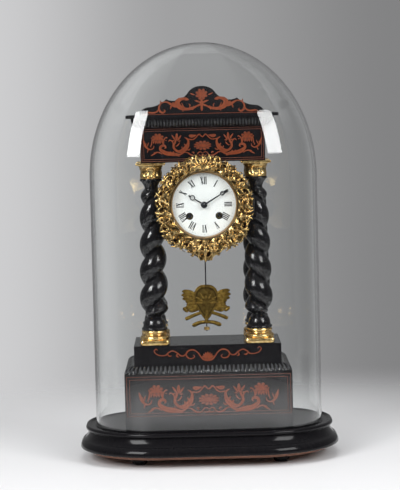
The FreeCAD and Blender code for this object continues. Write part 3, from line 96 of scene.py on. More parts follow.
class Finish(Nodes):
    """A material with short calls for what the finishes share."""

    def __init__(self, name):
        self.material = bpy.data.materials.new(name)
        self.material.use_nodes = True
        super().__init__(self.material.node_tree)
        self.shader = self.tree.nodes["Principled BSDF"]
        self.output = self.tree.nodes["Material Output"]
        self.place = self.tree.nodes.new("ShaderNodeTexCoord").outputs["Object"]

    def set(self, **values):
        """Sets the main shader's inputs, with underscores for spaces."""
        for key, value in values.items():
            self.put(self.shader.inputs[key.replace("_", " ")], value)

    def stretched(self, x, y, z):
        return self.node("ShaderNodeMapping", {"Vector": self.place, "Scale": (x, y, z)}).outputs["Vector"]

    def noise(self, scale, detail, place=None):
        inputs = {"Vector": place or self.place, "Scale": scale, "Detail": detail, "Roughness": 0.55}
        return self.node("ShaderNodeTexNoise", inputs).outputs["Fac"]

    def span(self, value, low, high):
        inputs = {"Value": value, "To Min": low, "To Max": high}
        return self.node("ShaderNodeMapRange", inputs).outputs["Result"]

    def bump(self, height, distance, strength):
        made = self.node("ShaderNodeBump", {"Height": height, "Distance": distance, "Strength": strength})
        self.put(self.shader.inputs["Normal"], made.outputs["Normal"])

    def with_marks_and_painted_light(self, tone, colour):
        """A tone that turns to a second colour where the mesh's mask attribute says so: painted shade on the
        gilt, a painted highlight on the reeds, dark lines on the inlay.
        """
        patina = self.node("ShaderNodeAttribute", attribute_name="patina").outputs["Fac"]
        return self.mix(patina, tone, (*colour, 1))

    def let_through(self, share, tint=(1, 1, 1)):
        """Lets a share of the light pass straight through the surface."""
        clear = self.node("ShaderNodeBsdfTransparent", {"Color": (*tint, 1)})
        inputs = {0: share, 1: self.shader.outputs[0], 2: clear.outputs[0]}
        blend = self.node("ShaderNodeMixShader", inputs)
        self.put(self.output.inputs["Surface"], blend.outputs[0])


def ebonised_wood(name="ebonised_wood", painted_highlight=None, gloss=0.45):
    """Black polished wood with a faint upright grain, greyer as a painted highlight where a piece's mask
    says so.
    """
    finish = Finish(name)
    grain = finish.noise(1, detail=4, place=finish.stretched(420, 420, 60))
    cloud = finish.noise(14, detail=2)
    tone = finish.ramp(grain, (0.3, (0.004, 0.004, 0.005)), (0.75, (0.009, 0.008, 0.009)))
    finish.set(
        Base_Color=finish.with_marks_and_painted_light(tone, painted_highlight) if painted_highlight else tone,
        Roughness=finish.span(cloud, 0.1, 0.2),
        Specular_IOR_Level=gloss,
        Coat_Weight=0.1,
        Coat_Roughness=0.04,
    )
    finish.bump(grain, 0.00002, 0.2)
    return finish.material


def stained_wood():
    finish = Finish("underside_wood")
    grain = finish.noise(1, detail=5, place=finish.stretched(40, 500, 300))
    finish.set(
        Base_Color=finish.ramp(grain, (0.3, (0.16, 0.062, 0.035)), (0.7, (0.3, 0.13, 0.075))),
        Roughness=finish.span(grain, 0.4, 0.55),
    )
    finish.bump(grain, 0.0001, 0.5)
    return finish.material


def metal(name, dark, bright, roughness, scale=60, brushed=None, patina=None):
    """A metal whose tone and gloss vary gently, darker as painted shade where a piece's mask says so."""
    finish = Finish(name)
    place = finish.stretched(*brushed) if brushed else None
    cloud = finish.noise(scale, detail=4, place=place)
    tone = finish.ramp(cloud, (0.3, dark), (0.7, bright))
    finish.set(
        Base_Color=finish.with_marks_and_painted_light(tone, patina) if patina else tone,
        Metallic=1.0,
        Roughness=finish.span(cloud, *roughness),
    )
    finish.bump(cloud, 0.00004, 0.4)
    return finish.material


def enamel():
    finish = Finish("dial_enamel")
    cloud = finish.noise(30, detail=2)
    finish.set(
        Base_Color=finish.ramp(cloud, (0.35, (0.9, 0.9, 0.89)), (0.7, (0.94, 0.94, 0.93))),
        Roughness=0.22,
        Coat_Weight=0.4,
        Coat_Roughness=0.05,
    )
    return finish.material


def black_steel():
    finish = Finish("black_hands")
    cloud = finish.noise(200, detail=2)
    finish.set(
        Base_Color=finish.ramp(cloud, (0.3, (0.006, 0.006, 0.008)), (0.7, (0.014, 0.014, 0.02))),
        Roughness=finish.span(cloud, 0.28, 0.4),
        Metallic=0.3,
    )
    return finish.material


def glass(name, tint):
    """Clear glass that lets the lamps through, so that what it covers is lit."""
    finish = Finish(name)
    finish.set(Base_Color=(*tint, 1), Roughness=0.0, IOR=1.47, Transmission_Weight=1.0)
    rays = finish.node("ShaderNodeLightPath").outputs
    finish.let_through(finish.math("MAXIMUM", rays["Is Shadow Ray"], rays["Is Diffuse Ray"]), tint)
    return finish.material


# The dark colour each gilt metal turns to is painted shade, laid into the hollows of the relief
OLD_GILT = metal(
    "old_gilt", (0.15, 0.085, 0.016), (0.42, 0.27, 0.058), (0.3, 0.5), 260, patina=(0.03, 0.02, 0.008)
)
PLINTH_WOOD = ebonised_wood("plinth_wood", gloss=0.1)
FINISHES = {
    "ebonised_wood": ebonised_wood(),
    "underside_wood": stained_wood(),
    "dome_glass": glass("dome_glass", (0.975, 0.985, 0.982)),
    "dial_glass": glass("dial_glass", (0.97, 0.98, 0.98)),
    # Its dark second colour is painted shade in the hollows of the relief
    "gilt_brass": metal(
        "gilt_brass", (0.52, 0.31, 0.09), (0.95, 0.73, 0.36), (0.14, 0.34), 150, patina=(0.045, 0.024, 0.009)
    ),
    "ring_brass": metal("ring_brass", (0.28, 0.16, 0.06), (0.45, 0.28, 0.12), (0.25, 0.4)),
    "movement_brass": metal(
        "movement_brass", (0.5, 0.35, 0.13), (0.72, 0.53, 0.22), (0.2, 0.4), 1, brushed=(60, 60, 900)
    ),
    "steel": metal("steel", (0.36, 0.36, 0.38), (0.55, 0.55, 0.57), (0.2, 0.35), 200),
    "bell_metal": metal("bell_metal", (0.5, 0.4, 0.2), (0.7, 0.6, 0.36), (0.2, 0.35), 40),
    "dial_enamel": enamel(),
    "black_hands": black_steel(),
}

for row in frame["record"]["subparts"]:
    piece = frame["nodes"][row["node"]]
    piece.data.materials.clear()
    piece.data.materials.append(FINISHES[row["material_slot"]])

# The plinth is less glossy than the clock, and some of the metal is dark; the winding arbors and the dial
# plate behind the winding holes are black as painted shade in the holes
HOLE_SHADE_AND_DARK_METAL = ("going_winding_arbor", "strike_winding_arbor", "hand_collet", "pendulum_rod", "dial_plate",
              "bezel_hinge", "bezel_hinge_pin")
for name in ("plinth", "bun_feet"):
    frame["nodes"][name].data.materials[0] = PLINTH_WOOD
for name in HOLE_SHADE_AND_DARK_METAL:
    frame["nodes"][name].data.materials[0] = FINISHES["black_hands"]


# Mesh helpers

def grid_faces(rows, columns):
    """Quads between rows of points; each row closes on itself."""
    faces = []
    for row in range(rows - 1):
        for column in range(columns):
            after = (column + 1) % columns
            low, high = row * columns, (row + 1) * columns
            faces.append((low + column, low + after, high + after, high + column))
    return faces


def capped(rows, columns):
    """The faces of a closed skin: the grid and a flat face at both ends."""
    last = (rows - 1) * columns
    ends = [tuple(reversed(range(columns))), tuple(range(last, last + columns))]
    return grid_faces(rows, columns) + ends


def ringed(rows, columns):
    """The faces of a closed ring: the grid, and a strip from the last row back to the first."""
    last = (rows - 1) * columns
    faces = grid_faces(rows, columns)
    for index in range(columns):
        after = (index + 1) % columns
        faces.append((index, last + index, last + after, after))
    return faces


def circle(radius, count):
    """Points round a circle, as pairs of across and up."""
    angles = np.linspace(0, 2 * math.pi, count, endpoint=False)
    return [(radius * math.cos(angle), radius * math.sin(angle)) for angle in angles]


def rectangle(x0, x1, z0, z1):
    """The corners of an upright rectangle, in order."""
    return (x0, z0), (x1, z0), (x1, z1), (x0, z1)


def rounded_rectangle(half_x, half_y, corner, steps):
    """Points round a level rectangle with round corners, the same number at each."""
    points = []
    for quarter in range(4):
        middle = (quarter + 0.5) * math.pi / 2
        cx = math.copysign(half_x - corner, math.cos(middle))
        cy = math.copysign(half_y - corner, math.sin(middle))
        for step in range(steps):
            angle = (quarter + step / (steps - 1)) * math.pi / 2
            points.append((cx + corner * math.cos(angle), cy + corner * math.sin(angle)))
    return points


def make_piece(name, points, faces, slot, body="root", replaces=(), finish=None, patina=None, sharp=40):
    """Makes a mesh from millimetres, gives it its finish and puts it on its body."""
    mesh = bpy.data.meshes.new(name)
    mesh.from_pydata([(x * MM, y * MM, z * MM) for x, y, z in points], [], faces)
    if patina is not None:
        tone = mesh.attributes.new("patina", "FLOAT", "POINT")
        tone.data.foreach_set("value", np.asarray(patina, np.float32))
    work = bmesh.new()
    work.from_mesh(mesh)
    bmesh.ops.recalc_face_normals(work, faces=work.faces)
    work.to_mesh(mesh)
    work.free()
    mesh.shade_smooth()
    mesh.set_sharp_from_angle(angle=math.radians(sharp))
    mesh.materials.append(finish or FINISHES[slot])
    made = bpy.data.objects.new(name, mesh)
    bpy.context.scene.collection.objects.link(made)
    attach(made, body)
    if replaces:
        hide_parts(*replaces)
    return made


class Skin:
    """Points and faces of one piece that is put together from several closed forms."""

    def __init__(self):
        self.points, self.faces, self.patina = [], [], []

    def add(self, points, faces, patina=None):
        first = len(self.points)
        self.points.extend(points)
        self.faces.extend(tuple(first + index for index in face) for face in faces)
        self.patina.extend(patina if patina is not None else [0] * len(points))

    def make(self, name, slot, **where):
        return make_piece(name, self.points, self.faces, slot, patina=self.patina, **where)


def node_box(name):
    """A node's lowest and highest corners in millimetres."""
    low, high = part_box(name)
    return low / MM, high / MM


DIAL_LOW, DIAL_HIGH = node_box("dial")
DIAL_Z = (DIAL_LOW.z + DIAL_HIGH.z) / 2


def smooth_line(points, steps=8):
    """Points along a curve that passes through every given point, each a tuple of numbers."""
    marks = [np.array(point, float) for point in points]
    marks = [2 * marks[0] - marks[1]] + marks + [2 * marks[-1] - marks[-2]]
    line = []
    for before, start, end, after in zip(marks, marks[1:], marks[2:], marks[3:]):
        for step in range(steps):
            t = step / steps
            line.append(
                0.5 * (2 * start + (end - before) * t
                       + (2 * before - 5 * start + 4 * end - after) * t ** 2
                       + (3 * start - before - 3 * end + after) * t ** 3)
            )
    line.append(marks[-2])
    return line


def sideways(line):
    """The unit normals of a flat line of (x, z, width) points."""
    flat = np.array([point[:2] for point in line])
    run = np.gradient(flat, axis=0)
    run /= np.maximum(np.linalg.norm(run, axis=1, keepdims=True), 1e-9)
    return np.stack([-run[:, 1], run[:, 0]], 1)


# Columns: one strand wound round each shaft between its turned foot and head

SHAFT_FOOT_HEIGHT = 20
SHAFT_HEAD_HEIGHT = 16
FOOT_RADIUS, FOOT_NECK = 18.5, 10.5
HEAD_RADIUS, HEAD_NECK = 16, 9
TWIST_PEAKS = (20.8, 16.6)
TWIST_VALLEYS = (12.4, 8.8)
TWIST_PITCH = 38.5
TWIST_RUNOUT = 12
TWIST_START = {"front_left": 299, "front_right": 241, "rear_left": 353, "rear_right": 10}
TWIST_HANDS = {"front_left": 1, "front_right": -1, "rear_left": 1, "rear_right": -1}
RING_STEP = 0.8
BEAD_SHARE = 0.115
CUSHION_SHARE = 0.62
COVE_SHARE = 0.67
RING_POINTS = 88


def foot_radius(z):
    """The torus and the cushion under the twist, at a height over the shaft's foot."""
    bead = SHAFT_FOOT_HEIGHT * BEAD_SHARE
    if z < bead * 2:
        return FOOT_RADIUS - bead + math.sqrt(max(bead ** 2 - (z - bead) ** 2, 0))
    share = min((z - bead * 2) / (SHAFT_FOOT_HEIGHT * CUSHION_SHARE), 1)
    return FOOT_NECK + (FOOT_RADIUS - bead - FOOT_NECK) * math.sqrt(1 - share ** 2)


def head_radius(drop):
    """The torus and the cove over the twist, at a depth under the shaft's top."""
    bead = SHAFT_HEAD_HEIGHT * BEAD_SHARE
    if drop < bead * 2:
        return HEAD_RADIUS - bead + math.sqrt(max(bead ** 2 - (drop - bead) ** 2, 0))
    share = min((drop - bead * 2) / (SHAFT_HEAD_HEIGHT * COVE_SHARE), 1)
    return HEAD_RADIUS - bead - (HEAD_RADIUS - bead - HEAD_NECK) * math.sin(share * math.pi / 2)


def strand_radius(peak, valley, turn):
    """The round back of the strand, from its peak at turn 0 to the valley at turn 1."""
    half, sag = TWIST_PITCH / 2, peak - valley
    bend = (half ** 2 + sag ** 2) / (2 * sag)
    return peak - bend + math.sqrt(bend ** 2 - (half * turn) ** 2)


def make_column(name):
    low, high = node_box(f"column_{name}")
    centre = (low + high) / 2
    tall = high.z - low.z
    top = tall - SHAFT_HEAD_HEIGHT
    rows = round(tall / RING_STEP) + 1
    points = []
    for row in range(rows):
        z = tall * row / (rows - 1)
        share = min(max((z - SHAFT_FOOT_HEIGHT) / (top - SHAFT_FOOT_HEIGHT), 0), 1)
        peak, valley = (a + (b - a) * share for a, b in (TWIST_PEAKS, TWIST_VALLEYS))
        neck = FOOT_NECK + (HEAD_NECK - FOOT_NECK) * share
        fade = min(max(min(z - SHAFT_FOOT_HEIGHT, top - z) / TWIST_RUNOUT, 0), 1)
        swell = math.sin(fade * math.pi / 2)
        turned = TWIST_HANDS[name] * (z - SHAFT_FOOT_HEIGHT) / TWIST_PITCH * 360
        plain = 0
        if z < SHAFT_FOOT_HEIGHT:
            plain = foot_radius(z)
        if z > top:
            plain = head_radius(tall - z)
        for index in range(RING_POINTS):
            turn = index / RING_POINTS * 2 - 1
            reach = max(neck + (strand_radius(peak, valley, abs(turn)) - neck) * swell, plain)
            angle = math.radians(TWIST_START[name] + turned + turn * 180)
            points.append((
                centre.x + reach * math.cos(angle),
                centre.y + reach * math.sin(angle),
                low.z + z,
            ))
    make_piece(
        f"{name}_twist", points, capped(rows, RING_POINTS), "ebonised_wood",
        replaces=[f"column_{name}"], sharp=50,
    )


for name in TWIST_START:
    make_column(name)


# Gilt column bases and capitals

LEAF_COUNT = 12
GILT_RING_POINTS = 192
RELIEF_ROWS = 60
SLAB_CORNER_POINTS = 5


def turned_relief(skin, centre, low, profile, relief):
    """A turned gilt form whose radius a relief pattern raises and lowers."""
    line = smooth_line(profile, max(RELIEF_ROWS // (len(profile) - 1), 2))
    points, patina = [], []
    for radius, z in line:
        for index in range(GILT_RING_POINTS):
            angle = index / GILT_RING_POINTS * 2 * math.pi
            rise = relief(angle, z)
            points.append((
                centre.x + (radius + rise) * math.cos(angle),
                centre.y + (radius + rise) * math.sin(angle),
                low + z,
            ))
            # Painted shade: darker between and under the leaves, lighter on their raised parts
            patina.append(min(max(0.55 - rise * 1.1, 0), 0.9) if rise else 0.1)
    skin.add(points, capped(len(line), GILT_RING_POINTS), patina)


def rounded_slab(skin, centre, low, width, tall, bevel):
    """A square slab with rounded edges all round."""
    steps = [
        (bevel, 0), (bevel * 0.3, bevel * 0.3), (0, bevel), (0, tall - bevel),
        (bevel * 0.3, tall - bevel * 0.3), (bevel, tall),
    ]
    points = []
    for inset, z in steps:
        half = width / 2 - inset
        for x, y in rounded_rectangle(half, half, bevel * 1.5, SLAB_CORNER_POINTS):
            points.append((centre.x + x, centre.y + y, low + z))
    skin.add(points, capped(len(steps), SLAB_CORNER_POINTS * 4), [0.05] * len(points))


def leaves(angle, z, low, high, depth):
    """Upright leaves side by side, with a vein in each and pointed tips."""
    if not low < z < high:
        return 0
    share = (z - low) / (high - low)
    phase = (angle * LEAF_COUNT / (2 * math.pi)) % 1 * 2 - 1
    width = 1 - share ** 3
    body = max(1 - (abs(phase) / max(width, 0.05)) ** 2, 0)
    vein = math.exp(-(phase / 0.09) ** 2) * 0.6
    ribs = 0.25 * math.cos(share * 18 + abs(phase) * 5)
    tip = math.sin(math.pi * min(share + 0.25, 1))
    return depth * body * (0.75 + ribs) * tip - depth * vein * body


# Radius and height over the foot of each turned form
CAPITAL_PROFILE = [
    (15.0, 0), (15.9, 0.8), (15.0, 1.8), (14.6, 6), (14.9, 12), (15.6, 13), (16.7, 13.8), (15.7, 14.8),
    (15.8, 16), (17, 18), (19.6, 20.4),
]
BASE_PROFILE = [
    (19.4, 7.6), (20.7, 9.2), (20.7, 11.4), (19.3, 13.2), (17.4, 13.8), (16.2, 15.2), (16.4, 16.6),
    (17.6, 17.1), (18.5, 18.4), (18.3, 19.9), (17.4, 21),
]
ABACUS_HEIGHT = 19.5
BASE_SLAB_HEIGHT = 8


def make_capital(name):
    low, high = node_box(f"capital_{name}")
    centre = (low + high) / 2
    skin = Skin()
    turned_relief(
        skin, centre, low.z, CAPITAL_PROFILE,
        lambda angle, z: leaves(angle, z, 2.2, 12.4, 1.1) + leaves(angle, z, 15, 20, 0.7),
    )
    slab_foot = low.z + ABACUS_HEIGHT
    rounded_slab(skin, centre, slab_foot, high.x - low.x, high.z - low.z - ABACUS_HEIGHT, 0.7)
    skin.make(f"{name}_leaf_capital", "gilt_brass", replaces=[f"capital_{name}"])


def make_column_base(name):
    low, high = node_box(f"column_base_{name}")
    centre = (low + high) / 2
    skin = Skin()
    rounded_slab(skin, centre, low.z, high.x - low.x, BASE_SLAB_HEIGHT, 2.6)
    turned_relief(skin, centre, low.z, BASE_PROFILE, lambda angle, z: 0)
    skin.make(f"{name}_gilt_base", "gilt_brass", replaces=[f"column_base_{name}"])


for name in TWIST_START:
    make_capital(name)
    make_column_base(name)


# Fluted mouldings of the base and the cornice

FLUTE_STEPS = 12
# The grey given here is a painted highlight along the crests of the reeds
REEDED_WOOD = ebonised_wood("reeded_wood", (0.055, 0.055, 0.058), gloss=0.3)
PROFILE_STEPS = 14
MOULDING_FILLET = 1.5


def moulding_profile(spread, tall, wide_at_top):
    """Inset, height and depth of fluting, from the foot of a quarter round to its top."""
    profile = [(0, 0, 0)]
    for step in range(PROFILE_STEPS + 1):
        turn = step / PROFILE_STEPS * math.pi / 2
        inset = (spread - MOULDING_FILLET) * (1 - math.cos(turn))
        z = MOULDING_FILLET + (tall - MOULDING_FILLET * 2) * math.sin(turn)
        profile.append((inset, z, math.sin(math.pi * min(step / PROFILE_STEPS * 1.1, 1)) ** 0.7))
    profile += [(spread, tall - MOULDING_FILLET, 0), (spread, tall, 0)]
    if wide_at_top:
        profile = [(inset, tall - z, flute) for inset, z, flute in reversed(profile)]
    return profile


def fluted_moulding(node, spread, wide_at_top, flute_pitch, flute_depth, crest_highlight):
    """A moulding with upright flutes on all four sides, and a painted highlight along the crest of each
    reed.
    """
    low, high = node_box(node)
    half = (high - low) / 2
    profile = moulding_profile(spread, high.z - low.z, wide_at_top)
    points, patina = [], []
    for inset, z, flute in profile:
        for turn in range(4):
            across, along = (half.x, half.y) if turn % 2 == 0 else (half.y, half.x)
            flutes = round(across * 2 / flute_pitch)
            angle = turn * math.pi / 2
            for step in range(flutes * FLUTE_STEPS):
                u = step / (flutes * FLUTE_STEPS)
                across_reed = (u * flutes) % 1 * 2 - 1
                groove = 1 - math.sqrt(max(1 - across_reed ** 2, 0))
                sink = flute_depth * flute * groove
                x = (u * 2 - 1) * (across - (inset + sink) * abs(u * 2 - 1) ** 6)
                y = -(along - inset - sink)
                points.append((
                    x * math.cos(angle) - y * math.sin(angle),
                    x * math.sin(angle) + y * math.cos(angle),
                    low.z + z,
                ))
                # Painted highlight: lighter along each reed's crest, as strong as the last argument says
                patina.append(max(1 - abs(across_reed) * 1.7, 0) * flute * crest_highlight)
    make_piece(
        f"{node}_fluted", points, capped(len(profile), len(points) // len(profile)), "ebonised_wood",
        replaces=[node], finish=REEDED_WOOD, patina=patina, sharp=55,
    )


# The last number is the strength of the painted highlight on the reeds' crests
fluted_moulding("base_moulding", 14, False, 6.1, 2.0, 1.0)
fluted_moulding("cornice_moulding", 12, True, 4.5, 1.5, 0.4)


# Glass dome: two oval skins that join at the rim

DOME_CORNER = 93
DOME_WALL = 3
DOME_RISE = 191
DOME_CORNER_STEPS = 40
DOME_CAP_RINGS = 64
DOME_WALL_STEPS = 8
DOME_TIP_SHARE = 0.004
GLASS_WAVE = 0.0006


def dome_ring(half, shrink, share, z):
    """One level row of the dome, drawn in to a share of its size."""
    outline = rounded_rectangle(half.x - shrink, half.y - shrink, DOME_CORNER - shrink, DOME_CORNER_STEPS)
    return [(x * share, y * share, z) for x, y in outline]


def make_dome():
    low, high = node_box("glass_dome")
    half = (high - low) / 2
    spring = high.z - DOME_RISE
    rings = []
    for shrink, order in ((0, 1), (DOME_WALL, -1)):
        skin = []
        for step in range(DOME_WALL_STEPS + 1):
            z = low.z + (spring - low.z) * step / DOME_WALL_STEPS
            skin.append(dome_ring(half, shrink, 1, z))
        for step in range(1, DOME_CAP_RINGS + 1):
            turn = step / DOME_CAP_RINGS * math.pi / 2
            wave = GLASS_WAVE * (1 + math.sin(step * 1.9 + 2 * math.sin(step * 0.7))) * (order > 0)
            share = max(math.cos(turn) - wave, DOME_TIP_SHARE)
            z = spring + (DOME_RISE - shrink) * math.sin(turn)
            skin.append(dome_ring(half, shrink, share, z))
        rings.append(skin)
    outer, inner = rings
    columns = len(outer[0])
    points = [p for ring in reversed(outer) for p in ring] + [p for ring in inner for p in ring]
    make_piece("oval_dome", points, capped(len(outer) + len(inner), columns),
               "dome_glass", body="dome", replaces=["glass_dome"], sharp=60)


make_dome()


# Inlay: thin shaped pieces let into the dark wood, with engraved lines along the wide ones

INLAY_PROUD = 0.12
INLAY_SUNK = 0.2
LIFT_STEP = 0.001
INLAY_MIN_WIDTH = 0.3
OUTLINE_WIDTH = 0.5
ENGRAVED_WIDTH = 2.2
ENGRAVED_HALF = 0.13
ENGRAVED_TONE = 0.9
PETAL_LINE_TONE = 0.95
ENGRAVED_DARK = (0.035, 0.008, 0.005)


def inlay_finish(name, light, deep):
    finish = Finish(name)
    grain = finish.noise(1, detail=4, place=finish.stretched(500, 500, 90))
    wood = finish.ramp(grain, (0.3, deep), (0.7, light))
    finish.set(
        Base_Color=finish.with_marks_and_painted_light(wood, ENGRAVED_DARK),
        Roughness=0.34,
        Coat_Weight=0.1,
        Coat_Roughness=0.1,
    )
    finish.bump(grain, 0.00002, 0.4)
    return finish.material


INLAY = inlay_finish("orange_inlay", (0.22, 0.045, 0.01), (0.13, 0.021, 0.004))
STRINGING = inlay_finish("stringing", (0.2, 0.06, 0.032), (0.14, 0.036, 0.018))


def flat_strip(skin, line, face_y, lift):
    """A thin closed strip along a line of (x, z, width) points, on a front face."""
    normals = sideways(line)
    front, back = face_y - INLAY_PROUD - lift, face_y + INLAY_SUNK
    points, patina = [], []
    for (x, z, width), (nx, nz) in zip(line, normals):
        half = max(width, INLAY_MIN_WIDTH) / 2
        edge = max(1 - OUTLINE_WIDTH / half, 0.7)
        groove = min(max((width - ENGRAVED_WIDTH) / 1.5, 0), 1) * ENGRAVED_TONE
        section = (
            (-1, back, 1), (-1, front, 1), (-edge, front, 0), (-ENGRAVED_HALF, front, 0),
            (0, front, groove), (ENGRAVED_HALF, front, 0), (edge, front, 0), (1, front, 1), (1, back, 1),
        )
        for side, y, tone in section:
            points.append((x + nx * half * side, y, z + nz * half * side))
            patina.append(tone)
    skin.add(points, capped(len(line), len(section)), patina)


def flat_disc(skin, x, z, width, height, lobes, depth, face_y, lift):
    """A thin oval with a scalloped rim, and an engraved ring inside the rim."""
    count = max(lobes * 8, 32)
    front, back = face_y - INLAY_PROUD - lift, face_y + INLAY_SUNK
    rows = ((1, back, 1), (1, front, 1), (0.93, front, 0), (0.84, front, 0), (0.74, front, 0),
            (0.71, front, ENGRAVED_TONE), (0.64, front, ENGRAVED_TONE), (0.57, front, 0), (0.2, front, 0.1))
    points, patina = [], []
    for share, y, tone in rows:
        for index in range(count):
            angle = index / count * 2 * math.pi
            lobe = abs(math.sin(lobes * angle / 2)) ** 0.7
            reach = 1 - depth + depth * lobe if share > 0.9 else 1 - depth
            across, up = width * share * reach * math.cos(angle), height * share * reach * math.sin(angle)
            points.append((x + across, y, z + up))
            patina.append(max(tone, PETAL_LINE_TONE * (1 - lobe) ** 0.6) if share > 0.5 else tone)
    skin.add(points, capped(len(rows), count), patina)


def petal_line(x, z, angle, length, width, bow=0.0):
    """A pointed petal or leaf as a line of (x, z, width) points."""
    line = []
    for share in (0, 0.12, 0.3, 0.5, 0.7, 0.86, 1):
        turn = angle + bow * share
        reach = length * share
        fat = width * math.sin(math.pi * min(share * 0.92 + 0.06, 1)) ** 0.8
        line.append((x + reach * math.cos(turn), z + reach * math.sin(turn), fat))
    return smooth_line(line, 3)


class Panel:
    """Inlay on the front face of a node, whose scale turns the marks below into millimetres."""

    def __init__(self, node, foot, scale_x=1.0, scale_z=1.0):
        self.low, self.high = node_box(node)
        self.foot = self.low.z + foot
        self.scale_x, self.scale_z = scale_x, scale_z
        self.skin = Skin()
        self.lift = 0.0

    def stroke(self, marks, side=1, steps=6):
        """A strip through (x, z, width) marks."""
        line = []
        for x, z, width in marks:
            line.append((x * side * self.scale_x, self.foot + z * self.scale_z, width * self.scale_z))
        flat_strip(self.skin, smooth_line(line, steps), self.low.y, self.lift)

    def petal(self, x, z, angle, length, width, bow=0.0, over=0.0):
        line = petal_line(
            x * self.scale_x, self.foot + z * self.scale_z, math.radians(angle),
            length * self.scale_z, width * self.scale_z, bow,
        )
        flat_strip(self.skin, line, self.low.y, self.lift + over)

    def disc(self, x, z, width, height, lobes, depth, over):
        flat_disc(
            self.skin, x * self.scale_x, self.foot + z * self.scale_z, width * self.scale_x,
            height * self.scale_z, lobes, depth, self.low.y, self.lift + over,
        )

    def half(self, side, strokes, petals=()):
        """One side of the panel, each piece a little higher than the last; the other side mirrors it."""
        for marks in strokes:
            self.stroke(marks, side)
            self.lift += LIFT_STEP
        for x, z, angle, length, width, bow in petals:
            self.petal(x * side, z, angle if side > 0 else 180 - angle, length, width, bow * side)
            self.lift += LIFT_STEP

    def make(self, name):
        self.skin.make(name, None, finish=INLAY)


# Each stroke is a list of (x, z, width) marks for the right half of a panel, and each
# petal is its foot, direction in degrees, length, width and bend
BORDER_STROKES = [
    [(0.0, 34.4, 2.0), (2.4, 36.5, 2.2), (5.5, 39.1, 2.4), (8.6, 36.4, 2.0), (11.8, 32.6, 1.9),
     (16, 30.4, 1.9), (21.6, 30.8, 1.9), (26, 31.6, 1.2)],
    [(9.8, 37.8, 0.6), (12.9, 37.0, 3.3), (17.3, 36.1, 5.8), (20.8, 37.0, 4.7), (22.1, 38.4, 1.3)],
    [(29.8, 33.9, 1.3), (26.5, 32.3, 2.4), (23.8, 28.6, 3.5), (24.2, 22.7, 5.2), (26.5, 17.4, 7.5),
     (30.7, 13.0, 8.2), (36.1, 10.0, 6.6), (41.6, 10.0, 4.5), (45.9, 13.0, 4.1), (48.5, 17.4, 4.2),
     (48.2, 22.3, 3.8), (45.9, 26.3, 3.5), (44.7, 30.2, 2.7)],
    [(49.4, 20.4, 1.3), (49.4, 25.7, 2.0), (51.9, 29.3, 2.0), (55.1, 30.0, 1.9), (56.6, 27.5, 0.9)],
    [(38.4, 25.7, 1.1), (40.0, 22.7, 2.0), (43.0, 19.6, 1.9), (45.5, 19.2, 0.9)],
    [(20.4, 14.9, 0.6), (21.8, 12.9, 2.0), (24.3, 11.8, 1.7), (25.9, 13.3, 0.8)],
    [(30.2, 8.8, 1.9), (35.3, 5.5, 2.8), (40.4, 3.8, 4.1), (46.3, 4.7, 6.1), (53.3, 5.6, 7.2),
     (61.2, 7.1, 7.5), (67.1, 10.6, 6.6), (70.7, 14.3, 4.9), (70.0, 18.7, 4.7), (66.3, 21.0, 4.7),
     (62.6, 19.8, 3.6), (61.8, 17.1, 2.4), (63.9, 15.5, 0.9)],
    [(65.5, 20.4, 2.0), (65.6, 25.1, 2.2), (64.9, 29.4, 2.0), (62.9, 32.9, 1.9), (60.0, 34.8, 2.0),
     (59.0, 33.1, 0.8)],
    [(30.2, 7.8, 1.1), (25.9, 7.5, 1.6), (22.1, 4.7, 2.7), (18.0, 2.2, 2.8), (13.3, 1.7, 1.9),
     (9.8, 3.5, 1.4), (7.1, 7.1, 1.7), (3.8, 8.2, 1.4), (0.0, 5.5, 1.1)],
    [(18.0, 7.1, 0.8), (16.2, 8.3, 2.0), (14.7, 6.7, 1.9), (16.0, 4.7, 0.8)],
    [(0.0, 3.3, 1.6), (1.7, 1.9, 2.0), (4.7, 1.7, 1.4), (7.1, 3.3, 0.8)],
    [(67.5, 4.9, 1.1), (71.8, 8.2, 2.0), (76.9, 9.1, 2.4), (81.6, 6.1, 2.8), (86.7, 3.0, 1.1)],
    [(79.6, 9.4, 0.6), (81.4, 8.0, 1.9), (81.1, 5.5, 0.9)],
    [(83.9, 32.2, 2.0), (84.7, 27.5, 2.0), (85.5, 22.7, 2.0), (87.1, 19.6, 1.3), (85.5, 18.4, 0.6)],
    [(81.4, 21.0, 0.9), (82.5, 16.5, 2.0), (86.7, 14.3, 2.2), (91.5, 16.0, 3.3), (95.4, 20.4, 3.9),
     (97.3, 26.0, 3.8), (99.0, 32.0, 1.1)],
    [(89.9, 27.1, 0.6), (91.3, 23.5, 1.9), (93.2, 19.6, 1.6)],
    [(89.7, 15.3, 1.1), (91.6, 12.5, 1.9), (92.5, 9.1, 0.8)],
]
BORDER_PETALS = [
    (41.6, 28.6, 118, 11.8, 3.1, 0.12),
    (43.3, 29.4, 93, 12.5, 4.9, 0.0),
    (45.3, 29.4, 62, 11.8, 3.1, -0.1),
    (40.8, 27.5, 150, 4.7, 1.9, 0.3),
    (46.9, 28.6, 25, 3.9, 1.9, -0.3),
    (49.4, 7.2, 100, 3.5, 2.4, 0.0),
    (54.1, 7.5, 80, 3.1, 2.4, 0.0),
    (28.2, 19.6, 45, 4.7, 2.7, 0.2),
    (33.7, 14.9, 60, 3.9, 2.4, 0.2),
    (83.3, 32.9, 25, 3.9, 2.0, 0.3),
    (62.0, 30.2, 200, 2.7, 1.6, 0.0),
    (95.7, 22.7, 130, 3.6, 1.6, 0.0),
    (44.7, 3.5, 200, 7.1, 2.4, 0.0),
]
FLOWER = (74.5, 34.0, 10.4, 8.6)
SHELL = (0, 19.6, 15.2, 8.6)


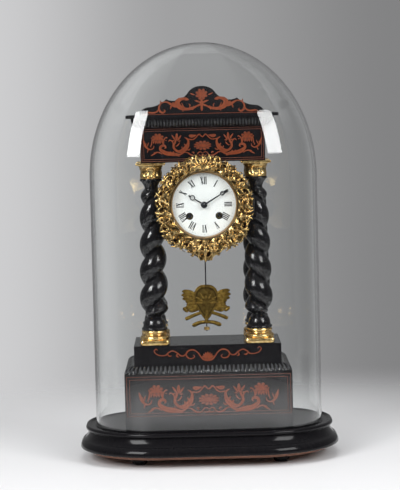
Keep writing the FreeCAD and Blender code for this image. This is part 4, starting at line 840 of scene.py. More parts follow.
def border_design(panel):
    """Scrolls, sprays and flowers on both sides of an oval shell."""
    for side in (-1, 1):
        panel.half(side, BORDER_STROKES, BORDER_PETALS)
        x, z, wide, tall = FLOWER
        x *= side
        for index in range(-2, 3):
            panel.petal(x + index * 3.3, z - 2, 270 + index * 4, 8, 2.7)
            panel.lift += LIFT_STEP
        panel.disc(x, z, wide, tall, 8, 0.3, 0)
        for index in range(7):
            panel.petal(x, z - 3, 20 + index * 23.4, 8.4, 2.6, over=0.002 * (index + 1))
        panel.lift += 0.02
    x, z, wide, tall = SHELL
    panel.disc(x, z, wide, tall, 12, 0.26, 0.01)
    for index in range(-3, 4):
        panel.petal(index * 2.2, z - 2.6, 90 - index * 9, 5.4, 2.0, over=0.02 + 0.001 * index)


VINE_STROKES = [
    [(0, 1.2, 2.8), (6, 2.6, 2.6), (10.6, 7.4, 2.0), (14, 12.4, 1.7), (20, 16.4, 1.9), (27, 15.6, 2.1),
     (31, 10.6, 2.1), (28, 5.2, 1.9), (22, 4.4, 1.6), (19, 7.2, 1.4), (21.4, 9.6, 0.6)],
    [(30.4, 12, 1.4), (34, 8.6, 1.7), (39, 8.8, 2.1), (43, 12.4, 1.7), (50, 15.8, 1.6), (56, 13.4, 1.8),
     (60, 9.8, 1.7), (67, 9.4, 1.5), (73, 11.6, 1.5), (76.4, 16, 1.4), (73.6, 19, 1.1), (71.2, 16.8, 0.5)],
    [(43, 12, 1.2), (44.4, 8.4, 2.4), (41.4, 6.4, 0.8)],
    [(58, 12, 1.0), (55, 8.6, 2.2), (51.6, 8.8, 0.6)],
]


def vine_design(panel):
    """A vine on both sides of a fan of leaves."""
    for side in (-1, 1):
        panel.half(side, VINE_STROKES)
    for index in range(-3, 4):
        panel.petal(0, 3.4, 90 - index * 21, 10.5 - abs(index) * 0.4, 3.6, over=0.002 * (index + 4))


CREST_STROKES = [
    [(5.3, 11.3, 1.9), (9.4, 8.9, 2.9), (14.5, 7.1, 3.7), (20.4, 6.2, 3.9), (26.9, 7.2, 5.3),
     (32.1, 10.3, 7.1), (34.5, 15.2, 7.5), (31.6, 19.1, 5.6), (26.4, 21.0, 3.7), (21.4, 21.2, 2.6),
     (18.2, 19.1, 1.5)],
    [(28.2, 14.9, 0.7), (26.9, 11.6, 1.5), (24.7, 8.1, 1.7), (22.6, 4.7, 0.9)],
    [(10.9, 10.5, 0.7), (12.2, 7.6, 2.6), (12.8, 4.7, 1.0)],
    [(33.2, 11.0, 4.3), (38.3, 11.3, 4.9), (43.4, 13.5, 3.7), (48.3, 16.2, 2.6), (53.6, 16.6, 2.0),
     (58.2, 13.9, 2.2), (60.4, 8.9, 2.7), (59.0, 4.2, 3.1), (55.3, 2.0, 3.1), (52.2, 4.0, 2.2),
     (53.4, 6.2, 0.9)],
    [(42.0, 13.0, 1.2), (43.4, 9.8, 2.2), (44.4, 6.7, 0.9)],
    [(60.0, 8.1, 1.4), (63.8, 3.5, 2.4), (69.7, 2.1, 2.6), (75.0, 2.8, 2.2), (79.4, 2.1, 0.7)],
    [(18.2, 13.5, 0.7), (16.5, 11.3, 1.7), (17.3, 8.6, 0.9)],
]
CREST_PETALS = [
    (9.0, 25.8, 10, 7.8, 1.9, 0.2),
    (0.0, 13.6, 35, 11.1, 2.9, -0.2),
    (0.0, 13.6, 325, 10.0, 2.9, 0.2),
    (26.9, 19.1, 130, 6.0, 2.9, 0.4),
    (31.5, 19.1, 70, 3.4, 2.9, 0.2),
    (37.4, 13.0, 40, 5.1, 2.6, 0.0),
    (24.3, 19.1, 160, 5.1, 2.2, 0.5),
    (57.0, 14.9, 60, 4.3, 2.0, 0.3),
    (26.4, 5.5, 280, 2.9, 1.7, 0.0),
]


def crest_design(panel):
    """Scrolls on both sides of a flower on its stem."""
    for side in (-1, 1):
        panel.half(side, CREST_STROKES, CREST_PETALS)
    panel.stroke([(0, 3.4, 1.2), (0, 5.6, 3.4), (0, 10, 3.6), (0, 14, 5), (0, 20, 1.6)], steps=5)
    for index in range(5):
        panel.petal(0, 26, 250 + index * 10, 8, 3, over=0.002 * (index + 1))
    panel.disc(0, 26.6, 9, 8, 8, 0.3, 0.02)
    for index in range(9):
        panel.petal(0, 26, index * 40 + 10, 6.4, 2.4, over=0.03 + 0.001 * index)


def flat_box(skin, edges, place, lifts, tone):
    """A thin closed box on a face; place turns (across, up) into a point and its outward step."""
    points = [place(x, z, lift) for lift in lifts for x, z in rectangle(*edges)]
    skin.add(points, capped(2, 4), [tone] * len(points))


def make_stringing(name, node, foot, head, insets, width):
    """Thin lines round the panels on the front and both sides of a box."""
    low, high = node_box(node)
    panels = (
        (low.x, high.x, lambda x, z, lift: (x, low.y - lift, z)),
        (low.y, high.y, lambda y, z, lift: (high.x + lift, y, z)),
        (low.y, high.y, lambda y, z, lift: (low.x - lift, y, z)),
    )
    skin = Skin()
    for inset in insets:
        bottom, top = low.z + foot + inset, high.z + head - inset
        for start, end, place in panels:
            left, right = start + inset, end - inset
            bars = (
                (left, right, bottom, bottom + width),
                (left, right, top - width, top),
                (left, left + width, bottom + width, top - width),
                (right - width, right, bottom + width, top - width),
            )
            for bar in bars:
                flat_box(skin, bar, place, (-INLAY_SUNK, INLAY_PROUD * 0.5), 0.25)
    skin.make(name, None, finish=STRINGING)


def make_marquetry():
    panel = Panel("base_box", 20.8)
    border_design(panel)
    panel.make("base_marquetry")
    make_stringing("base_stringing", "base_box", 15.5, 0.6, (2.6, 6.6), 0.6)

    panel = Panel("base_block", 2.6)
    vine_design(panel)
    panel.make("block_marquetry")

    panel = Panel("entablature_box", 7.4, 0.85, 0.8)
    border_design(panel)
    panel.make("frieze_marquetry")
    make_stringing("frieze_stringing", "entablature_box", 0, 2, (1.8, 4.6), 0.55)

    panel = Panel("crest_board", 1.2)
    low, high = panel.low, panel.high
    crest_design(panel)
    flat_box(
        panel.skin, (low.x + 4, high.x - 4, low.z + 0.5, low.z + 1.2),
        lambda x, z, lift: (x, low.y - lift, z), (-INLAY_SUNK, INLAY_PROUD), 0.2,
    )
    panel.make("crest_marquetry")


make_marquetry()


# Raised metal ornament: leaves and scrolls as closed, rounded strips

SECTION_POINTS = 10


def raised_strip(skin, line, back_y, heights, dark=0.75):
    """A rounded strip along a line of (x, z, width) points; its flat back is at back_y. Dark sets the
    painted shade at its edges.
    """
    normals = sideways(line)
    points, patina = [], []
    for index, ((x, z, width), (nx, nz)) in enumerate(zip(line, normals)):
        height = np.interp(index / (len(line) - 1), np.linspace(0, 1, len(heights)), heights)
        half = max(width, 0.1) / 2
        for step in range(SECTION_POINTS):
            angle = step / (SECTION_POINTS - 1) * math.pi
            side, rise = math.cos(angle), math.sin(angle)
            groove = 0.12 * math.exp(-(side / 0.22) ** 2)
            y = back_y - height * (rise ** 0.8 - groove)
            points.append((x + nx * half * side, y, z + nz * half * side))
            # Painted shade: darker towards the edges, where the strip meets the ground, and along its middle
            # crease
            patina.append(dark * (1 - rise) ** 0.5 + groove * 4)
    skin.add(points, capped(len(line), SECTION_POINTS), patina)


def spiral_line(x, z, radius, start, sweep, width, end_share=0.25, marks=22):
    """A scroll that winds in from its radius to a share of it."""
    line = []
    for index in range(marks + 1):
        share = index / marks
        reach = radius * (1 - (1 - end_share) * share)
        angle = start + sweep * share
        fat = width * (0.35 + 0.65 * math.sin(math.pi * (0.15 + 0.8 * (1 - share))))
        line.append((x + reach * math.cos(angle), z + reach * math.sin(angle), fat))
    line[-1] = (line[-1][0], line[-1][1], width * 0.9)
    return line


def serrated_leaf(x, z, angle, length, width, bow, lobes=5):
    """A leaf whose edge swells and narrows in lobes towards its tip."""
    line = []
    count = lobes * 6
    for index in range(count + 1):
        share = index / count
        turn = angle + bow * share
        outline = math.sin(math.pi * min(share * 0.9 + 0.08, 1)) ** 0.7
        lobe = 0.72 + 0.28 * abs(math.sin(math.pi * share * lobes))
        reach = length * share
        line.append((x + reach * math.cos(turn), z + reach * math.sin(turn), width * outline * lobe))
    return line


BEZEL_INNER = 48.6
BEZEL_REACH = 69
BEZEL_CREST_RISE = 2
BEZEL_PENDANT_DROP = 12
BEZEL_CORNER_REACH = 6.5
BEZEL_CREST_SPREAD = 24
BEZEL_PENDANT_SPREAD = 13
BEZEL_CORNERS = (224, 316)
BEZEL_SECTORS = 16
BEZEL_BASE_SHARE = 0.42
BEZEL_TOP = (0.5, 0.56, 0.42)
BEZEL_AROUND = 720
BEZEL_FRONT_STEPS = 26
RELIEF_SEED = 7

# In each sector a scroll is its turn, place across the band, size, start, sweep and width,
# a leaf its turn, place, lean, length, width, bow and step back, and a bead its turn
SECTOR_SCROLLS = ((0.18, 0.56, 0.34, 2.4, -5.2, 3.0), (-0.34, 0.7, 0.24, -0.6, 4.8, 2.4))
SECTOR_LEAVES = (
    (-0.45, 0.18, 0.95, 0.95, 5.4, -0.9, 1.5),
    (0.1, 0.5, -0.35, 0.56, 4.4, 0.7, 1),
    (0.42, 0.42, 0.5, 0.6, 3.8, 0.8, 1.2),
)
SECTOR_BEADS = (-0.3, 0.1, 0.5)

# Rows of small leaves and curls: place across the band, count and size
SCATTERED_ROWS = ((0.14, 44, 3.4), (0.34, 40, 4.2), (0.56, 40, 4.6), (0.76, 44, 4.4), (0.93, 52, 3.8))


def bezel_reach(angle):
    """How far the foliage reaches at an angle from the right, in radians."""
    degrees = math.degrees(angle) % 360

    def swollen(middle, spread):
        return math.exp(-((degrees - middle) / spread) ** 2)

    crest = swollen(90, BEZEL_CREST_SPREAD)
    pendant = swollen(270, BEZEL_PENDANT_SPREAD)
    lower = sum(swollen(corner, BEZEL_PENDANT_SPREAD) for corner in BEZEL_CORNERS)
    lobes = 1.3 * abs(math.sin(angle * BEZEL_SECTORS / 2 + 0.4)) + 0.8 * math.sin(angle * 37)
    swell = BEZEL_CREST_RISE * crest + BEZEL_PENDANT_DROP * pendant + BEZEL_CORNER_REACH * lower
    return BEZEL_REACH + swell + lobes


class Foliage:
    """The bezel's relief, round the middle of the dial."""

    def __init__(self):
        low, high = node_box("bezel")
        self.back, self.depth = high.y, high.y - low.y
        self.base_y = self.back - self.depth * BEZEL_BASE_SHARE
        self.skin = Skin()

    def at(self, angle, radius):
        return radius * math.cos(angle), DIAL_Z + radius * math.sin(angle)

    def strip(self, line, heights, backward=0.0):
        """A raised strip whose heights are shares of the bezel's depth."""
        heights = [self.depth * height for height in heights]
        raised_strip(self.skin, line, self.base_y + backward, heights)

    def add_body(self):
        """The solid ring under the foliage, hollowed in waves, with painted shade where the waves sink back
        and on its flat back.
        """
        depth = self.depth
        points, patina = [], []
        shares = [step / BEZEL_FRONT_STEPS for step in range(BEZEL_FRONT_STEPS + 1)]
        rows = [(True, 1.0), (True, 0.0)] + [(False, share) for share in shares]
        for flat, share in rows:
            for index in range(BEZEL_AROUND):
                angle = index / BEZEL_AROUND * 2 * math.pi
                radius = BEZEL_INNER + (bezel_reach(angle) - 2.0 - BEZEL_INNER) * share
                hollow = 2.2 * math.sin(angle * 24 + share * 9) * math.sin(share * math.pi * 2.2)
                rise = depth * (0.52 + 0.16 * math.sin(share * math.pi)) * (1 - 0.55 * share ** 2)
                # Painted shade: darker where the waves sink back, darkest on the flat back face
                y, tone = self.back - (rise + hollow * 0.5), 0.6 - hollow * 0.18
                if flat:
                    y, tone = self.back, 1
                x, z = self.at(angle, radius)
                points.append((x, y, z))
                patina.append(min(max(tone, 0), 1))
        self.skin.add(points, ringed(len(rows), BEZEL_AROUND), patina)

    def add_sectors(self):
        step = 2 * math.pi / BEZEL_SECTORS
        for index in range(BEZEL_SECTORS):
            middle = (index + 0.5) / BEZEL_SECTORS * 2 * math.pi
            side = 1 if math.cos(middle) > 0 else -1
            band = bezel_reach(middle) - BEZEL_INNER
            for turn, share, size, start, sweep, width in SECTOR_SCROLLS:
                x, z = self.at(middle + side * step * turn, BEZEL_INNER + band * share)
                line = spiral_line(x, z, band * size, middle + side * start, side * sweep, width)
                self.strip(line, BEZEL_TOP)
            for turn, share, lean, length, width, bow, backward in SECTOR_LEAVES:
                x, z = self.at(middle + side * step * turn, BEZEL_INNER + band * share)
                line = serrated_leaf(x, z, middle + side * lean, band * length, width, side * bow)
                self.strip(line, BEZEL_TOP, backward)
            for turn in SECTOR_BEADS:
                x, z = self.at(middle + turn * step, BEZEL_INNER + 2.2)
                self.strip(spiral_line(x, z, 0.8, middle, 3.0, 2.0, 0.6, 6), [BEZEL_BASE_SHARE] * 2)

    def add_scattered(self):
        depth = self.depth
        chance = random.Random(RELIEF_SEED)
        for row, count, size in SCATTERED_ROWS:
            for index in range(count):
                middle = (index + chance.uniform(-0.25, 0.25)) / count * 2 * math.pi
                x, z = self.at(middle, BEZEL_INNER + (bezel_reach(middle) - BEZEL_INNER) * row)
                side = chance.choice((-1, 1))
                turn = middle + side * chance.uniform(0.3, 1.3) + math.pi * (row < 0.2)
                lift = depth * (0.62 - 0.34 * abs(row - 0.3)) - depth * BEZEL_BASE_SHARE
                heights = [depth * 0.3, depth * 0.36 + lift * chance.uniform(0.6, 1.0), depth * 0.2]
                if chance.random() < 0.4:
                    line = spiral_line(x, z, size * 0.5, turn, side * 4.6, 2.1, 0.3, 14)
                else:
                    line = serrated_leaf(x, z, turn, size * chance.uniform(0.9, 1.4), 2.6, side * 0.8, 2)
                raised_strip(self.skin, line, self.base_y - lift * 0.5, heights)

    def add_crest_and_pendant(self):
        up, down = math.pi / 2, -math.pi / 2
        crest_z, pendant_z = DIAL_Z + BEZEL_INNER + 3, DIAL_Z - BEZEL_INNER - 4
        for index in range(-4, 5):
            line = serrated_leaf(
                index * 0.9, crest_z, up - index * 0.3, 17.5 - abs(index) * 1.1, 4.2, 0.0, 2
            )
            self.strip(line, (0.5, 0.58, 0.4))
        for side in (-1, 1):
            curl = spiral_line(side * 13, crest_z + 5, 7.4, up, -side * 5.6, 3.2)
            self.strip(curl, (0.55, 0.5))
            curl = spiral_line(side * 12, pendant_z - 5, 8, down, side * 5.2, 3.2)
            self.strip(curl, (0.55, 0.5))
            for index in range(3):
                turn = down + side * (0.35 + index * 0.45)
                x = side * (3 + index * 4)
                leaf = serrated_leaf(x, pendant_z - 2, turn, 17 - index * 3, 5, side * 0.5)
                self.strip(leaf, BEZEL_TOP, 1)
        self.strip(serrated_leaf(0, pendant_z, down, 28, 8.4, 0, 6), (0.5, 0.55, 0.3))
        self.strip(spiral_line(0, pendant_z - 8, 2.2, 0, 6.0, 3.4, 0.5, 10), (0.56, 0.5))

    def keep_within_reach(self):
        """Draws in the points that lie outside the bezel's outline."""
        for index, (x, y, z) in enumerate(self.skin.points):
            up = z - DIAL_Z
            share = min(1, (bezel_reach(math.atan2(up, x)) + 1.0) / math.hypot(x, up))
            self.skin.points[index] = (x * share, y, DIAL_Z + up * share)


def make_bezel():
    foliage = Foliage()
    foliage.add_body()
    foliage.add_sectors()
    foliage.add_scattered()
    foliage.add_crest_and_pendant()
    foliage.keep_within_reach()
    foliage.skin.make("rococo_bezel", "gilt_brass", body="bezel_door", replaces=["bezel"], sharp=60)


make_bezel()


SIGHT_RING_WIDTH = 3.6
SIGHT_RING_AROUND = 1200
REEDS = 150
REEDED_ROWS = (2, 3, 4)


def make_sight_ring():
    """The reeded ring between the foliage and the glass."""
    low, high = node_box("sight_ring")
    mid_z = (low.z + high.z) / 2
    outer = (high.x - low.x) / 2
    inner = outer - SIGHT_RING_WIDTH
    profile = [
        (outer, high.y), (outer, low.y), (outer - 0.6, low.y - 1.4), (outer - 1.5, low.y - 1.6),
        (outer - 2.4, low.y - 0.8), (inner, low.y + 3), (inner, high.y),
    ]
    points = []
    for row, (radius, y) in enumerate(profile):
        for index in range(SIGHT_RING_AROUND):
            angle = index / SIGHT_RING_AROUND * 2 * math.pi
            ripple = 0.28 * math.cos(angle * REEDS) if row in REEDED_ROWS else 0
            points.append((radius * math.cos(angle), y - ripple, mid_z + radius * math.sin(angle)))
    make_piece("reeded_ring", points, ringed(len(profile), SIGHT_RING_AROUND), "ring_brass",
               body="bezel_door", replaces=["sight_ring"], sharp=35)


make_sight_ring()


# Dial figures and hands

NUMERALS = ("I", "II", "III", "IIII", "V", "VI", "VII", "VIII", "IX", "X", "XI", "XII")
FIGURE_RADIUS = 34.2
FIGURE_HEIGHT = 10.6
FIGURE_SPACING = {"I": 2.35, "V": 4.6, "X": 4.8}
SERIF_SHARE = 0.38
SERIF_WIDTH = 0.3
TICK_RADIUS = 42.4
TICK_HALF = 0.5
HOUR_TICK_WIDTH = 0.55
MINUTE_TICK_WIDTH = 0.28
PAINT = 0.05
WINDING_X = 21
WINDING_DROP = 16
# The black rings round the winding holes are painted shade that widens the dark of the holes
HOLE_SHADE_RADIUS = 5.2
HOLE_SHADE_WIDTH = 0.9
HOLE_SHADE_POINTS = 40

# A letter's bars: place across its top and its foot, and width
LETTER_BARS = {
    "I": ((0, 0, 1.5),),
    "V": ((-1.3, 0.1, 1.6), (1.6, 0.1, 0.7)),
    "X": ((-1.5, 1.5, 1.7), (1.5, -1.5, 0.7)),
}


def painted_bar(skin, start, end, width, place):
    """A flat bar of paint from one point to another, in a figure's own frame."""
    (x0, z0), (x1, z1) = start, end
    length = math.hypot(x1 - x0, z1 - z0)
    nx, nz = -(z1 - z0) / length * width / 2, (x1 - x0) / length * width / 2
    outline = [(x0 - nx, z0 - nz), (x1 - nx, z1 - nz), (x1 + nx, z1 + nz), (x0 + nx, z0 + nz)]
    points = [place(x, z, lift) for lift in (0, PAINT) for x, z in outline]
    skin.add(points, capped(2, 4))


def dial_place(degrees, radius):
    """Turns a figure's own frame into points on the dial, at an angle from the right."""
    turn = math.radians(degrees)

    def place(x, z, lift):
        up = radius + z
        across = x * math.sin(turn) + up * math.cos(turn)
        return across, DIAL_LOW.y - lift, DIAL_Z - x * math.cos(turn) + up * math.sin(turn)

    return place


def add_numeral(skin, numeral, place):
    half = FIGURE_HEIGHT / 2
    x = -sum(FIGURE_SPACING[letter] for letter in numeral) / 2
    for letter in numeral:
        wide = FIGURE_SPACING[letter]
        middle = x + wide / 2
        serif = wide * SERIF_SHARE
        for z in (-half, half):
            painted_bar(skin, (middle - serif, z), (middle + serif, z), SERIF_WIDTH, place)
        for top, foot, width in LETTER_BARS[letter]:
            painted_bar(skin, (middle + top, half), (middle + foot, -half), width, place)
        x += wide


def make_dial_figures():
    skin = Skin()
    for hour, numeral in enumerate(NUMERALS, start=1):
        add_numeral(skin, numeral, dial_place(90 - hour * 30, FIGURE_RADIUS))
    for minute in range(60):
        width = HOUR_TICK_WIDTH if minute % 5 == 0 else MINUTE_TICK_WIDTH
        place = dial_place(90 - minute * 6, TICK_RADIUS)
        painted_bar(skin, (0, -TICK_HALF), (0, TICK_HALF), width, place)
    # Painted shade: a black ring round each winding hole
    face_y = DIAL_LOW.y
    inner, front = HOLE_SHADE_RADIUS - HOLE_SHADE_WIDTH, face_y - PAINT
    section = ((inner, face_y), (inner, front), (HOLE_SHADE_RADIUS, front), (HOLE_SHADE_RADIUS, face_y))
    for side in (-1, 1):
        points = []
        for radius, y in section:
            for x, z in circle(radius, HOLE_SHADE_POINTS):
                points.append((side * WINDING_X + x, y, DIAL_Z - WINDING_DROP + z))
        skin.add(points, ringed(len(section), HOLE_SHADE_POINTS))
    skin.make("dial_figures", "black_hands")


make_dial_figures()

HOUR_ANGLE = 302
MINUTE_ANGLE = 59
HUB_POINTS = 48
CAP_POINTS = 40
CAP_RADIUS = 3.4


def make_hand(node, body, turn_degrees, length, ring_at, ring_radius, hub_radius, name):
    """A slim hand with an open ring before its leaf-shaped tip."""
    low, high = node_box(node)
    back, thick = high.y, high.y - low.y
    turn = math.radians(90 - turn_degrees)
    skin = Skin()

    def along(distance, width):
        return distance * math.cos(turn), DIAL_Z + distance * math.sin(turn), width

    def strip(line):
        raised_strip(skin, line, back, [thick, thick], 0)

    ring_start, ring_end = ring_at - ring_radius, ring_at + ring_radius
    strip(smooth_line([along(0, 2.6), along(ring_start, 1.5)], 6))
    leaf = [(ring_end - 0.4, 1.0), (ring_end + 2.2, 3.6), (length * 0.93, 2.0), (length, 0.3)]
    strip(smooth_line([along(*mark) for mark in leaf], 6))
    x, z, width = along(ring_at, 1.3)
    angles = np.linspace(0, 2 * math.pi, 40)
    strip([(x + ring_radius * math.cos(a), z + ring_radius * math.sin(a), width) for a in angles])
    hub = []
    for radius, share in ((hub_radius, 0), (hub_radius, 0.7), (hub_radius - 0.5, 1), (0.05, 1)):
        hub += [(x, back - thick * share, DIAL_Z + z) for x, z in circle(radius, HUB_POINTS)]
    skin.add(hub, capped(4, HUB_POINTS))
    skin.make(name, "black_hands", body=body, replaces=[node])


make_hand("hour_hand", "hour", HOUR_ANGLE, 26, 19.5, 3.2, 4.7, "hour_hand_blued")
make_hand("minute_hand", "minute", MINUTE_ANGLE, 41, 30.5, 2.7, 4.6, "minute_hand_blued")


def make_hand_cap():
    """The black dome that closes the middle of the hands."""
    low, high = node_box("hand_collet")
    tip, _ = node_box("centre_wheel")
    mid_z = (low.z + high.z) / 2
    back, front = high.y, min(tip.y, low.y) - 0.3
    points = []
    section = ((0, 1), (0.5, 1), (0.8, 0.85), (0.95, 0.55), (1, 0.1))
    for share, reach in section:
        y = back + (front - back) * share
        points += [(x, y, mid_z + z) for x, z in circle(CAP_RADIUS * reach, CAP_POINTS)]
    make_piece("hand_cap", points, capped(len(section), CAP_POINTS), "black_hands",
               body="minute", replaces=["hand_collet"])


make_hand_cap()


# Pendulum bob: a shield with leaves, between wings, crossed bars and a ribbon bar

WING_FEATHERS = (
    ((0.97, 0.7), (0.4, 0.5)), ((1.0, 0.52), (0.42, 0.42)), ((0.96, 0.34), (0.44, 0.32)),
    ((0.84, 0.2), (0.44, 0.22)), ((0.8, 0.06), (0.42, 0.1)), ((0.86, -0.1), (0.38, -0.02)),
    ((0.7, -0.26), (0.32, -0.14)),
)

# Strokes of the bob's right half: (x, z, width) marks in shares of its half size, and heights
BOB_BAR = ([(0.1, -0.2, 5), (-0.45, -0.42, 5), (-0.78, -0.58, 5.4), (-0.86, -0.62, 4)], (0.6, 0.7, 0.7))
BOB_CURL = ([(0.8, -0.08, 2), (0.9, -0.12, 4.6), (0.78, -0.24, 4), (0.7, -0.1, 2)], (0.7, 0.8, 0.5))
BOB_RIBBON = ([(0, -0.76, 5), (0.28, -0.8, 5.6), (0.5, -0.9, 6), (0.59, -0.93, 3)], (0.8, 0.8, 0.6))
SHIELD_OUTLINE = [
    (0, 1), (0.24, 0.96), (0.42, 0.78), (0.5, 0.5), (0.5, 0.28), (0.42, 0.0), (0.27, -0.3), (0.12, -0.58),
    (0, -0.66),
]

# The shield's rows from its rim to its middle: share of the outline, height and painted shade
SHIELD_ROWS = (
    (1, -0.6, 0.9), (1, 0.25, 0.75), (0.9, 0.66, 0.35), (0.82, 0.6, 0.9), (0.7, 0.72, 0.6),
    (0.4, 0.94, 0.65), (0.03, 1, 0.65),
)
SHIELD_CENTRE = 0.2
SHIELD_DEPTH = 0.96
BOB_BACKING = 0.6
# How much painted shade falls on the edges of the bob's raised strips
BOB_EDGE_SHADE = 0.6


def make_bob():
    low, high = node_box("pendulum_bob")
    mid = (low + high) / 2
    half_x, half_z = (high.x - low.x) / 2, (high.z - low.z) / 2
    back, thick = mid.y, (high.y - low.y) / 2
    skin = Skin()

    def stroke(marks, heights, side=1):
        line = [(mid.x + side * x * half_x, mid.z + z * half_z, width) for x, z, width in marks]
        heights = [thick * height + BOB_BACKING for height in heights]
        raised_strip(skin, smooth_line(line, 7), back + BOB_BACKING, heights, BOB_EDGE_SHADE)

    def leaf(degrees, foot, length, width, backward, heights):
        line = petal_line(mid.x, mid.z + foot * half_z, math.radians(degrees), length * half_z, width)
        raised_strip(skin, line, back - thick * backward, [thick * height for height in heights], BOB_EDGE_SHADE)

    for side in (-1, 1):
        for (tip_x, tip_z), (root_x, root_z) in WING_FEATHERS:
            feather = [
                (root_x, root_z, 5),
                (root_x * 0.6 + tip_x * 0.4, root_z * 0.5 + tip_z * 0.5 + 0.03, 7),
                (root_x * 0.2 + tip_x * 0.8, root_z * 0.15 + tip_z * 0.85 + 0.02, 6),
                (tip_x, tip_z, 1.6),
            ]
            stroke(feather, (0.5, 0.72, 0.4), side)
        for marks, heights in (BOB_BAR, BOB_CURL, BOB_RIBBON):
            stroke(marks, heights, side)
    stroke([(0, -0.4, 12), (0, -0.6, 6), (0, -0.78, 5)], (0.7, 0.7, 0.7))

    outline = SHIELD_OUTLINE + [(-x, z) for x, z in reversed(SHIELD_OUTLINE[1:-1])]
    line = smooth_line(outline + outline[:1], 5)[:-1]
    points, patina = [], []
    for share, height, tone in SHIELD_ROWS:
        for x, z in line:
            across, up = x * half_x * share, (SHIELD_CENTRE + (z - SHIELD_CENTRE) * share) * half_z
            points.append((mid.x + across, back - thick * height * SHIELD_DEPTH, mid.z + up))
            patina.append(tone)
    skin.add(points, capped(len(SHIELD_ROWS), len(line)), patina)
    for index in range(-3, 4):
        leaf(90 + index * 30, 0.14, 0.56, 4, 0.5, (0.4, 0.48, 0.3))
    leaf(270, 0.1, 0.6, 6, 0.4, (0.5, 0.5, 0.3))
    skin.make("trophy_bob", "gilt_brass", body="pendulum", replaces=["pendulum_bob"], finish=OLD_GILT,
              sharp=60)


make_bob()


# The floor, the light and the camera

FLOOR_SIZE = 3000
FLOOR_FORWARD = 150
FLOOR_FADE_START = 380
FLOOR_FADE_END = 1150


def make_floor():
    """A pale table top that fades out all round into the background."""
    finish = Finish("pale_floor")
    finish.set(Base_Color=(0.81, 0.81, 0.82, 1), Roughness=0.5)
    length = finish.node("ShaderNodeVectorMath", operation="LENGTH")
    finish.put(length.inputs[0], finish.place)
    fade = finish.node(
        "ShaderNodeMapRange",
        {
            "Value": length.outputs["Value"],
            "From Min": FLOOR_FADE_START * MM,
            "From Max": FLOOR_FADE_END * MM,
        },
        interpolation_type="SMOOTHSTEP",
    )
    finish.let_through(fade.outputs["Result"])
    mesh = bpy.data.meshes.new("floor")
    half = FLOOR_SIZE * MM / 2
    mesh.from_pydata([(x, y, 0) for x, y in rectangle(-half, half, -half, half)], [], [(0, 1, 2, 3)])
    mesh.materials.append(finish.material)
    floor = bpy.data.objects.new("floor", mesh)
    floor.location.y = -FLOOR_FORWARD * MM
    bpy.context.scene.collection.objects.link(floor)


make_floor()

CAMERA_X = -20
CAMERA_DISTANCE = 3100
CAMERA_HEIGHT = 537
CAMERA_PITCH = 4.27
CAMERA_YAW = 0.24
CAMERA_ROLL = 1.43
CAMERA_LENS = 157.6


def make_camera():
    camera = bpy.data.objects.new("camera", bpy.data.cameras.new("camera"))
    bpy.context.scene.collection.objects.link(camera)
    camera.data.lens = CAMERA_LENS
    camera.data.clip_end = 100
    turn = (
        Matrix.Rotation(math.radians(-CAMERA_YAW), 4, "Z")
        @ Matrix.Rotation(math.radians(90 - CAMERA_PITCH), 4, "X")
        @ Matrix.Rotation(math.radians(-CAMERA_ROLL), 4, "Z")
    )
    spot = Vector((CAMERA_X, -CAMERA_DISTANCE, CAMERA_HEIGHT)) * MM
    camera.matrix_world = Matrix.Translation(spot) @ turn
    bpy.context.scene.camera = camera


make_camera()


def make_lamp(name, watts, width, height, place, mirrored=True):
    """A rectangular lamp that faces the clock's middle."""
    lamp = bpy.data.lights.new(name, "AREA")
    lamp.shape = "RECTANGLE"
    lamp.size = width * MM
    lamp.size_y = height * MM
    lamp.energy = watts
    holder = bpy.data.objects.new(name, lamp)
    holder.location = Vector(place) * MM
    towards = Vector(LAMP_AIM) * MM - holder.location
    holder.rotation_mode = "QUATERNION"
    holder.rotation_quaternion = towards.to_track_quat("-Z", "Y")
    holder.visible_glossy = mirrored
    holder.visible_transmission = mirrored
    bpy.context.scene.collection.objects.link(holder)


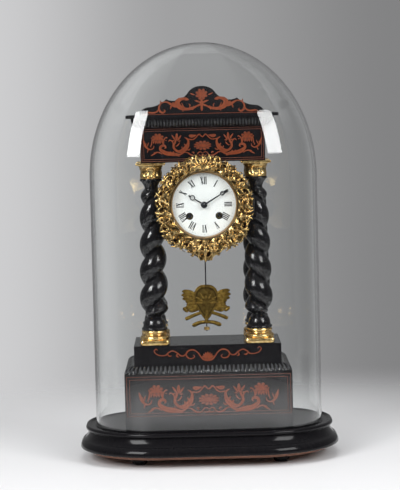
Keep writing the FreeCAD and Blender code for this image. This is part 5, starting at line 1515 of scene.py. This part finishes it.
LAMP_AIM = (0, 0, 330)
make_lamp("left_softbox", 52, 1000, 1150, (-1400, -1750, 1400))
make_lamp("right_softbox", 44, 1250, 1150, (1640, -1750, 1430))
make_lamp("top_softbox", 15, 1400, 1000, (0, -300, 2300), mirrored=False)
make_lamp("front_fill", 14, 1600, 1200, (0, -2900, 1500), mirrored=False)

# The world's brightness from one side to the other: a place between 0 and 1, and its grey
COOLER = 1.015
LIT_ABOVE = 0.22
BACKDROP = (
    (0, 0.8), (0.36, 0.8), (0.45, 0.62), (0.5, 0.35), (0.55, 0.225), (0.68, 0.7), (1, 0.8),
)
ROOM = ((0, 0.03), (0.22, 0.03), (0.5, 0.16), (1, 0.22))


def make_world():
    """A grey backdrop for the eye, and a room that is dark on the camera's side for the polish."""
    world = bpy.data.worlds.new("studio")
    world.use_nodes = True
    nodes = Nodes(world.node_tree)

    def graded(value, low, stops):
        span = nodes.node("ShaderNodeMapRange", {"Value": value, "From Min": low, "From Max": 1})
        greys = [(position, (grey, grey, grey * COOLER)) for position, grey in stops]
        return nodes.ramp(span.outputs["Result"], *greys, easing="EASE")

    way = nodes.node("ShaderNodeTexCoord").outputs["Generated"]
    split = nodes.node("ShaderNodeSeparateXYZ", {0: way}).outputs
    backdrop = graded(split["X"], -1, BACKDROP)
    room = graded(split["Y"], -1, ROOM)
    above = graded(split["Z"], 0.3, ((0, 0), (1, LIT_ABOVE)))
    lit = nodes.node("ShaderNodeVectorMath", {0: room, 1: above}, operation="ADD").outputs[0]

    rays = nodes.node("ShaderNodeLightPath").outputs
    bounced = nodes.math("ADD", rays["Glossy Depth"], rays["Diffuse Depth"])
    straight = nodes.math("LESS_THAN", bounced, 0.5)
    seen = nodes.math("MAXIMUM", rays["Is Camera Ray"], rays["Is Transmission Ray"])
    seen = nodes.math("MULTIPLY", seen, straight)
    nodes.put(nodes.tree.nodes["Background"].inputs["Color"], nodes.mix(seen, lit, backdrop))
    bpy.context.scene.world = world


make_world()

bpy.context.scene.view_settings.view_transform = "Standard"
